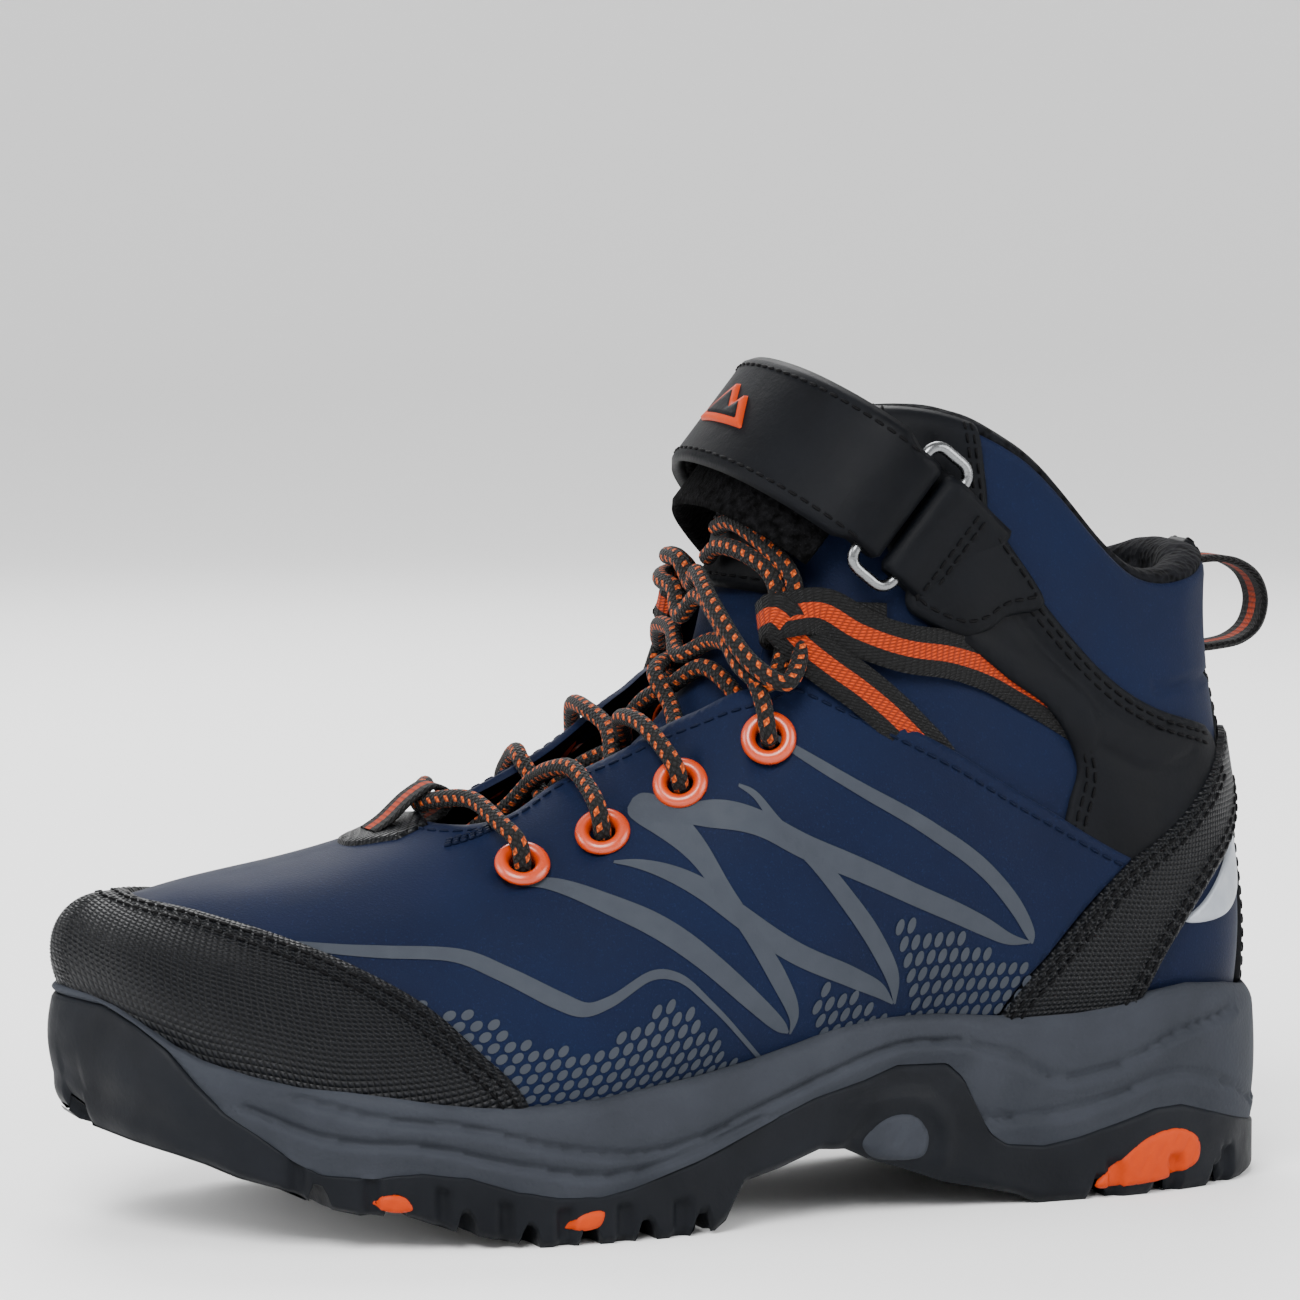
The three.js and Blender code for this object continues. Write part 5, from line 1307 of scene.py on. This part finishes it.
def add_tongue():
    line = smooth_line(TONGUE, 1.2)
    out = left_of(line[:, :2])
    out = out * np.sign(out[:, :1])
    across = np.linspace(-1, 1, 41)
    half_loop = np.concatenate([across, across[::-1][1:-1]])
    face = np.concatenate([np.ones(41), -np.ones(39)])
    rows, uv = [], []
    seams = (0.32, 0.66)
    total = len(line)
    for i in range(total):
        f = i / (total - 1)
        close = math.sqrt(max(0.0, 1 - max(0.0, 1 - 8 * min(f, 1 - f))**2))
        puff = 1.2
        for seam in seams:
            puff -= 1.3 * math.exp(-((f - seam) / 0.012)**2)
        for y, side in zip(half_loop, face):
            angle = TONGUE_TURN * y
            mid = np.array([line[i, 0], 0, line[i, 1]])
            base = mid + np.array([0, line[i, 2] * math.sin(angle), 0])
            fall = line[i, 3] * (math.cos(angle) - 1)
            edge = math.sqrt(max(0.0, 1 - (max(0.0, abs(y) - 0.82) / 0.18)**2))
            crown = (0.4 + puff * math.cos(y * math.pi / 2)) * edge * close
            ripple = 0.35 * noise.noise(Vector((f * 9, y * 2.2, 4.4))) * edge
            height = fall + (crown + ripple if side > 0 else -2 - 1.8 * edge * close)
            if side > 0:
                height -= 0.5
            point = base + height * np.array([out[i, 0], 0, out[i, 1]])
            rows.append(point)
            uv.append((f * TONGUE_LONG, y * TONGUE_HALF))
    count = len(half_loop)
    tongue = grid_mesh("tongue_pad", in_frame(np.array(rows)), total, count, TONGUE_BLUE, uv=np.array(uv),
                       closed=True, flip=True, nodes=["tongue"], slot="navy_cloth")

    def on_tongue(xy, lift):
        f = np.clip(xy[:, 0], 0, 1) * (total - 1)
        k = np.clip(f.astype(int), 0, total - 2)
        g = (f - k)[:, None]
        here = line[k] * (1 - g) + line[k + 1] * g
        way = unit(out[k] * (1 - g) + out[k + 1] * g)
        angle = TONGUE_TURN * xy[:, 1]
        base = np.column_stack([here[:, 0], here[:, 2] * np.sin(angle), here[:, 1]])
        height = here[:, 3] * (np.cos(angle) - 1) + lift
        return in_frame(base + height[:, None] * np.column_stack([way[:, 0], 0 * way[:, 0], way[:, 1]]))

    def scaled(xy, lift):
        return on_tongue(np.column_stack([xy[:, 0] / TONGUE_LONG, xy[:, 1] / TONGUE_HALF]), lift)

    keeper = ring_of(np.array([(73.5, -16), (72.6, 0), (73.5, 16)]), np.array([(73.5, 16), (86, 15)]),
                     np.array([(86, 15), (87, 0), (86, -15)]), np.array([(86, -15), (73.5, -16)]))
    patch("lace_keeper_tab", keeper, NUBUCK, 2.3, place=scaled, rise=1.3, roll=1.0, pitch=1.0, flip=False,
          nodes=["lace_keeper"], slot="black_synthetic")
    rows = [np.array([(75.4, -14), (74.8, 0), (75.4, 14)]), np.array([(84.4, -13), (85, 0), (84.4, 13)])]
    stitches("lace_keeper_stitching", [smooth_line(r, 1) for r in rows], BLACK_THREAD, 2.35, place=scaled,
             slot="black_synthetic")


# ---------------------------------------------------------------- eyelets and webbing

def place_one(inner, u, v, offset):
    """One point over the upper, in design millimetres."""
    k = np.array([1 if inner else 0])
    return (surface(k, u, v) + outward(k, u, v) * offset)[0]


def add_eyelets():
    section = [(2.3, -2.7), (3.2, -2.7), (3.3, -2.2), (2.95, -2.0), (2.95, 1.2), (4.7, 1.35), (4.95, 1.7),
               (4.85, 2.15), (4.45, 2.6), (3.9, 2.88), (3.35, 2.9), (2.85, 2.7), (2.5, 2.3), (2.32, 1.8),
               (2.3, 1.2)]
    turns = 48
    for inner, side in ((False, "outer"), (True, "inner")):
        for number, (u, v) in enumerate(EYELETS, 1):
            normal = outward(np.array([int(inner)]), u, v)[0]
            origin = place_one(inner, u, v, 0.35)
            along = unit(np.cross(normal, (0, 0, 1.0))[None])[0]
            cross = np.cross(normal, along)
            points, uv = [], []
            for i in range(turns):
                angle = 2 * math.pi * i / turns
                way = math.cos(angle) * along + math.sin(angle) * cross
                for radius, height in section:
                    points.append(origin + way * radius + normal * height)
                    uv.append((i, height))
            count = len(section)
            faces = [(i * count + j, ((i + 1) % turns) * count + j,
                      ((i + 1) % turns) * count + (j + 1) % count,
                      i * count + (j + 1) % count) for i in range(turns) for j in range(count)]
            add_mesh(f"eyelet_{side}_{number}_ring", in_frame(np.array(points)), faces, PLASTIC,
                     uv=np.array(uv),
                     nodes=[f"eyelet_{side}_{number}"], slot="eyelet_plastic")


def webbing_band(name, centres, ups, width, thick, **kept):
    """A strip of webbing along centres in design millimetres; ups is the way its face looks."""
    joined = smooth_line(np.hstack([np.array(centres), 0.4 * np.array(ups)]), 0.8)
    line, face = joined[:, :3], joined[:, 3:]
    tangent = unit(np.gradient(line, axis=0))
    wide = unit(np.cross(face, tangent))
    up = np.cross(tangent, wide)
    profile = [(c, math.sqrt(max(0.0, 1 - max(0.0, abs(c) - 0.85)**2 / 0.15**2)))
               for c in np.linspace(-1, 1, 15)]
    loop = profile + [(c, -h) for c, h in profile[::-1]]
    length = run_length(line)
    points, uv = [], []
    for i in range(len(line)):
        for c, h in loop:
            points.append(line[i] + wide[i] * c * width / 2 + up[i] * h * thick / 2)
            uv.append((length[i], c * width / 2))
    return grid_mesh(name, in_frame(np.array(points)), len(line), len(loop), WEBBING, uv=np.array(uv),
                     closed=True, slot="webbing", **kept)


def add_webbing():
    def both(flip, side):
        at = np.array([int(flip)])
        u, v = 0.566, 0.668
        ahead = unit(surface(at, u + 0.02, v) - surface(at, u - 0.02, v))[0]
        normal = outward(at, u, v)[0]
        middle = place_one(flip, u, v, 3.8)
        spot = lambda a, b, lift: place_one(flip, a, b, lift)
        away = lambda a, b: -outward(at, a, b)[0]
        flat = lambda a, b, lift: (spot(a, b, lift), away(a, b))
        upper = [(spot(0.50, 0.655, 1.9), normal), (spot(0.53, 0.66, 1.9), normal),
                 (middle - 2.6 * ahead - 2.9 * normal, normal), (middle + 2.4 * ahead - 2.9 * normal, normal),
                 (middle + 4.9 * ahead - 0.4 * normal, -ahead), (middle + 3 * ahead + 2.6 * normal, -normal),
                 (middle - 1.5 * ahead + 2.9 * normal, -normal),
                 (middle - 6.5 * ahead + 1.0 * normal, -normal),
                 (spot(0.520, 0.645, 3.2), -normal), flat(0.487, 0.622, 2.6), flat(0.445, 0.621, 1.6),
                 flat(0.405, 0.624, 0.7), flat(0.372, 0.622, 0.5), flat(0.335, 0.617, 0.4),
                 flat(0.305, 0.612, 0.2)]
        webbing_band(f"webbing_loop_{side}_strap", *zip(*upper), 8.8, 1.0, nodes=[f"webbing_loop_{side}"])
        lower = [(middle + 5.1 * ahead - 0.8 * normal, -ahead), (middle + 4.6 * ahead + 1.8 * normal, -ahead),
                 (middle + 1.6 * ahead + 3.7 * normal, -normal), (spot(0.556, 0.628, 4.9), -normal),
                 (spot(0.541, 0.598, 3.6), away(0.54, 0.6)), (spot(0.522, 0.565, 2.8), away(0.52, 0.565)),
                 (spot(0.500, 0.528, 1.9), away(0.5, 0.53)), flat(0.474, 0.484, 0.7), flat(0.452, 0.45, -0.2)]
        webbing_band(f"webbing_arm_{side}_strap", *zip(*lower), 8.4, 1.0)

    mirror_both(both)
    base = place_one(False, 0.834, 1.0, 2.2)
    ahead = unit((surface(np.array([0]), 0.87, 1.0) - surface(np.array([0]), 0.83, 1.0)))[0]
    normal = np.array([-ahead[2], 0, ahead[0]])
    loop = [(place_one(False, 0.852, 1.0, 1.5), normal), (base + 4.5 * ahead - 2.2 * normal, normal),
            (base + 1 * ahead - 2.9 * normal, normal), (base - 3.2 * ahead - 2.2 * normal, normal),
            (base - 5 * ahead + 0.2 * normal, ahead), (base - 2.8 * ahead + 2.7 * normal, -normal),
            (base + 1.2 * ahead + 2.2 * normal, -normal),
            (place_one(False, 0.852, 1.0, 1.9), -normal), (place_one(False, 0.860, 1.0, 1.0), -normal)]
    webbing_band("toe_loop_strap", *zip(*loop), 9.0, 1.0, nodes=["toe_loop"])
    near = smooth_line(chart([(0.836, 0.90), (0.835, 1.0), (0.836, 1.10)]), 1)
    far = smooth_line(chart([(0.852, 1.12), (0.870, 1.06), (0.874, 1.0), (0.870, 0.94), (0.852, 0.88)]), 1)
    ring = ring_of(near, np.array([near[-1], far[0]]), far, np.array([far[-1], near[0]]))
    patch("toe_stay", ring, TEXTURED, over(front_level, 0.8), rise=0.9, roll=0.8, pitch=0.9, slot="webbing")

    hoop = [((14, 0, 113.5), (0, 0, 1)), ((9, 0, 114), (0, 0, 1)), ((4, 0, 113.3), (-0.3, 0, 1)),
            ((0, 0, 110.6), (-1, 0, 0.7)), ((-1.7, 0, 106), (-1, 0, 0)), ((-0.4, 0, 101.2), (-1, 0, -0.6)),
            ((3, 0, 98.6), (-0.5, 0, -1)), ((8, 0, 97.6), (0, 0, -1)), ((13.5, 0, 97.2), (0, 0, -1))]
    webbing_band("pull_loop_strap", *zip(*hoop), 10, 1.3, nodes=["pull_loop"])


# ---------------------------------------------------------------- ankle strap

LEAN = 0.68
AXIS_E = np.array([math.cos(LEAN), 0, math.sin(LEAN)])
AXIS_T = np.array([0, 1.0, 0])
AXIS_W = np.array([-math.sin(LEAN), 0, math.cos(LEAN)])
STRAP_MIDDLE = 45.5
RING = (142.6, 34.2)
REACH = 4.6
FLAP_LINE = [(148, 36.1), (154.5, 33.6), (161.5, 27.6), (167.8, 17.4), (171, 4), (170.6, -7), (167, -17),
             (160.5, -25.4), (153, -31.4), (147.6, -34.2)]
BASE_LINE = [(151.4, 29.6), (157, 26.2), (162.4, 19.4), (165.8, 10), (166.3, 0), (165, -10.4), (160.4, -19.4),
             (153, -27), (146.6, -31.6), (141.4, -34.6)]


def strap_point(middle):
    """Places (point on the strap's line, across) in design millimetres."""
    def place(point, across):
        return point[0] * AXIS_E + point[1] * AXIS_T + (middle + across) * AXIS_W
    return place


def band_line(line):
    """The even line through the points and its direction away from the leg."""
    line = smooth_line(line, 1)
    away = left_of(line)
    middle = len(line) // 2
    return line, away if (line[middle] - (RING[0], 0)) @ away[middle] > 0 else -away


def band_face(line, middle):
    """Places (along, across) millimetres on a band's outer face; also its length."""
    line, away = band_line(line)
    length = run_length(line)

    def face(xy, lift):
        spots, way = (np.column_stack([np.interp(xy[:, 0], length, table[:, i]) for i in (0, 1)])
                      for table in (line, away))
        spots = spots + unit(way) * np.broadcast_to(lift, len(xy))[:, None]
        return in_frame(spots[:, :1] * AXIS_E + spots[:, 1:] * AXIS_T + (middle + xy[:, 1:]) * AXIS_W)

    return face, length[-1]


def add_flap():
    e, t = RING
    front = e + REACH
    fold = [(front + 6.5, t - 2.2), (front + 3, t - 2.0), (front - 0.6, t - 1.95), (front - 3.1, t - 0.9),
            (front - 3.3, t + 0.7), (front - 1.4, t + 2.0)]
    line = fold + FLAP_LINE
    sweep("strap_flap_band", line, 12, 0.95, strap_point(STRAP_MIDDLE), NUBUCK, soft=1.0, body="flap",
          narrow=(0.86, 17), nodes=["strap_flap"], slot="black_synthetic")
    face, length = band_face(FLAP_LINE, STRAP_MIDDLE)
    rows = [np.array([(1, y), (length - 3, y)]) for y in (-9.6, 9.6)]
    rows.append(np.array([(length - 3, -9.6), (length - 3, 9.6)]))
    stitches("strap_stitching", rows, BLACK_THREAD, 1.0, place=face, body="flap", slot="black_synthetic")

    peak = np.array([(34, -3.4), (39.2, 3.2), (41.2, 0.9), (45, 5.2), (52, -3.4)])
    cut = np.array([(36.4, -2.2), (39.6, 1.6), (41.4, -0.2), (44.8, 3.6), (49.6, -2.2)])
    patch("strap_badge_shape", polygon(peak), ORANGE_RUBBER, 1.75, place=face, rise=0.9, roll=0.5, pitch=0.7,
          flip=False, body="flap", nodes=["strap_badge"], slot="orange_rubber")
    patch("strap_badge_field", polygon(cut), NUBUCK, 1.95, place=face, rise=0.4, roll=0.3, pitch=0.7,
          flip=False, body="flap", slot="black_synthetic")

    pad, away = band_line(FLAP_LINE)
    inner = pad - away * 1.55
    keep = inner[int(0.26 * len(inner)):int(0.94 * len(inner))]
    sweep("hook_pad_band", keep[::6], 10, 0.55, strap_point(STRAP_MIDDLE), PILE, soft=0.6, body="flap",
          nodes=["hook_pad"], slot="lining_cloth")
    sweep("strap_base_band", BASE_LINE, 11.5, 0.8, strap_point(STRAP_MIDDLE - 6.5), PILE, soft=0.8,
          nodes=["strap_base"], slot="lining_cloth")


def add_ring():
    e, t = RING
    half, bend = 13.4, 2.6
    corners = []
    for right, up, start in ((1, 1, 0), (-1, 1, 90), (-1, -1, 180), (1, -1, 270)):
        for degrees in np.linspace(start, start + 90, 9):
            angle = math.radians(degrees)
            corners.append(((half - bend) * right + bend * math.cos(angle),
                            (REACH - bend) * up + bend * math.sin(angle)))
    corners.append(corners[0])
    path = spaced(np.array(corners), 0.7)
    centres = in_frame([(e + y) * AXIS_E + t * AXIS_T + (STRAP_MIDDLE + x) * AXIS_W for x, y in path])
    tube("strap_ring_wire", centres, 0.00105, STEEL, body="ring", nodes=["strap_ring"], slot="steel")


def add_ring_tab():
    e, t = RING
    rear = e - REACH
    tab = [(rear - 13.5, 31.6), (rear - 7, 33.3), (rear - 2.5, 35.0), (rear + 0.6, t + 1.8),
           (rear + 2.9, t + 0.8),
           (rear + 3.0, t - 0.6), (rear + 0.9, t - 1.9), (rear - 3, t - 2.4), (rear - 9, 30.6)]
    sweep("ring_tab_fold", tab, 10.5, 0.75, strap_point(STRAP_MIDDLE), NUBUCK, soft=0.8,
          slot="black_synthetic")
    face, _ = band_face(tab[:4], STRAP_MIDDLE)
    stitches("ring_tab_cross_stitching", [np.array([(x, -8.8), (x, 8.8)]) for x in (6.4, 8.4)],
             BLACK_THREAD, 0.8, place=face, slot="black_synthetic")
    patch_line = [(0.484, 0.69), (0.47, 0.668), (0.435, 0.655), (0.408, 0.685), (0.393, 0.717),
                  (0.350, 0.783),
                  (0.385, 0.845), (0.42, 0.888), (0.455, 0.93), (0.468, 0.80)]
    ring = loop_of(chart(patch_line))
    patch("ring_tab_patch", ring, NUBUCK, 2.9, rise=1.6, roll=1.1, wave=0.2, nodes=["ring_tab"],
          slot="black_synthetic")
    inner_row = smooth_line(chart([(0.478, 0.70), (0.447, 0.79), (0.452, 0.90)]), 1)
    stitches("ring_tab_stitching", [shifted(np.vstack([ring, ring[:1]]), 2.0), inner_row], BLACK_THREAD,
             2.95, slot="black_synthetic")


def add_strap_anchor():
    anchor = loop_of(chart([(0.475, 0.68), (0.4, 0.67), (0.37, 0.78), (0.4, 0.92), (0.45, 0.93)], True))
    patch("strap_anchor_patch", anchor, NUBUCK, 2.9, rise=1.6, roll=1.1, nodes=["strap_anchor"],
          slot="black_synthetic")
    stitches("strap_anchor_stitching", [shifted(np.vstack([anchor, anchor[:1]]), 2.0)], BLACK_THREAD, 2.95,
             slot="black_synthetic")


# ---------------------------------------------------------------- lace

def climb(own, other, heights):
    """Half of the lacing, from the toe loop up to the top eyelet: (side, u, v, lift)."""
    return [
        (own, 0.827, 0.93, 3.1), (own, 0.814, 0.84, 4.2), (own, 0.803, 0.72, 5), (own, 0.794, 0.65, 5),
        (own, 0.792, 0.621, 2.4), (own, 0.792, 0.621, -2), (own, 0.792, 0.64, -5), (own, 0.785, 0.76, -5.2),
        (own, 0.782, 0.87, -5.2), (own, 0.777, 1, heights[0]), (other, 0.765, 0.88, 1.8),
        (other, 0.752, 0.8, 4),
        (other, 0.742, 0.71, 4.8), (other, 0.736, 0.64, 5), (other, 0.735, 0.608, 2.4),
        (other, 0.735, 0.608, -2),
        (other, 0.735, 0.63, -5), (other, 0.737, 0.76, -5.2), (other, 0.738, 0.87, -5.2),
        (own, 0.734, 1, heights[1]), (own, 0.718, 0.86, 1.8), (own, 0.7, 0.745, 4.4),
        (own, 0.686, 0.655, 4.9),
        (own, 0.676, 0.59, 4.6), (own, 0.675, 0.574, 2.4), (own, 0.675, 0.575, -2), (own, 0.675, 0.584, -4.6),
        (own, 0.679, 0.63, -5.2), (own, 0.688, 0.74, -5.2), (own, 0.7, 0.88, -5.2),
        (other, 0.704, 1, heights[2]),
        (other, 0.672, 0.84, -4.9), (other, 0.636, 0.68, -5.4), (other, 0.592, 0.535, -5),
        (other, 0.588, 0.521, -2), (other, 0.5875, 0.521, 2.4)]


OUTER_HALF = climb(0, 1, (-5, -5, -1.4)) + [
    (1, 0.587, 0.524, 4.4), (1, 0.579, 0.59, 5), (1, 0.573, 0.668, 3.9), (1, 0.576, 0.712, 4.4),
    (1, 0.6, 0.735, 4.6),
    (1, 0.632, 0.81, 3.8), (1, 0.655, 0.9, 2.4), (1, 0.68, 1, 1), (0, 0.648, 0.86, 3), (0, 0.618, 0.72, 4.8),
    (0, 0.601, 0.62, 5.2), (0, 0.583, 0.585, 4.8), (0, 0.572, 0.62, 4), (0, 0.571, 0.67, 3.8),
    (0, 0.574, 0.73, 4.2),
    (0, 0.592, 0.775, 3.8), (0, 0.622, 0.86, 2.6), (0, 0.648, 0.96, 1.9)]
INNER_HALF = climb(1, 0, (-1.4, -1.4, -5)) + [
    (0, 0.588, 0.524, 4.4), (0, 0.59, 0.57, 5.2), (0, 0.604, 0.65, 2.8), (0, 0.63, 0.73, -0.8),
    (0, 0.66, 0.84, -3),
    (0, 0.693, 1, -3), (1, 0.66, 0.84, -2), (1, 0.61, 0.68, 1.6), (1, 0.574, 0.6, 5), (1, 0.56, 0.62, 4.2),
    (1, 0.559, 0.67, 3.9), (1, 0.563, 0.708, 4.2), (1, 0.583, 0.74, 4.8), (1, 0.615, 0.8, 4.6),
    (1, 0.642, 0.9, 3.6),
    (1, 0.667, 1, 2), (0, 0.638, 0.86, 5), (0, 0.613, 0.72, 7.8), (0, 0.592, 0.61, 8.4),
    (0, 0.57, 0.575, 7.4),
    (0, 0.56, 0.61, 4.8), (0, 0.559, 0.67, 3.9), (0, 0.561, 0.73, 4.3), (0, 0.577, 0.775, 4.2),
    (0, 0.605, 0.85, 3),
    (0, 0.632, 0.94, 2.2)]


def add_lace():
    route = OUTER_HALF[::-1] + [(0, 0.834, 1, 2.2)] + INNER_HALF
    points = np.array([place_one(side == 1, u, v, lift) for side, u, v, lift in route])
    centres = in_frame(smooth_line(points, 0.75))
    tube("lace_braid", centres, 0.0016, LACE, nodes=["lace"], slot="lace")


# ---------------------------------------------------------------- everything

def finish_hidden():
    """The solid parts that stay as the frame made them, inside the boot."""
    for name, material in (("shank", STEEL), ("insole_board", BOARD), ("heel_counter", BOARD),
                           ("toe_puff", BOARD)):
        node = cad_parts[name]
        node.data.materials.clear()
        node.data.materials.append(material)


def add_floor():
    """A round pale floor that curves up into a low wall, so that no horizon shows."""
    shade = Shade("floor", (0.9, 0.9, 0.9), 0.7, Specular_IOR_Level=0.1)
    shade.blend(shade.noise(300, 2), (0.9, 0.9, 0.9), (0.92, 0.92, 0.92))
    profile = [(0.0, 0.0), (0.4, 0.0), (1.0, 0.0), (1.7, 0.0)]
    profile += [(1.7 + 1.2 * math.sin(a), 1.2 - 1.2 * math.cos(a)) for a in np.linspace(0.06, math.pi / 2,
                                                                                        20)]
    profile += [(2.9, 1.8)]
    turns = 96
    points = [(r * math.cos(2 * math.pi * k / turns), r * math.sin(2 * math.pi * k / turns), z)
              for r, z in profile for k in range(turns)]
    faces = [(i * turns + k, (i + 1) * turns + k, (i + 1) * turns + (k + 1) % turns,
              i * turns + (k + 1) % turns)
             for i in range(len(profile) - 1) for k in range(turns)]
    mesh = bpy.data.meshes.new("floor")
    mesh.from_pydata(points, [], faces)
    mesh.polygons.foreach_set("use_smooth", [True] * len(mesh.polygons))
    mesh.materials.append(shade.material)
    floor = bpy.data.objects.new("floor", mesh)
    bpy.context.scene.collection.objects.link(floor)


add_studio()
add_lace()
add_floor()
add_sole()
add_front()
add_rear()
add_toe_cap()
add_print()
add_lining()
add_tongue()
add_eyelets()
add_webbing()
add_flap()
add_ring()
add_ring_tab()
add_strap_anchor()
finish_hidden()
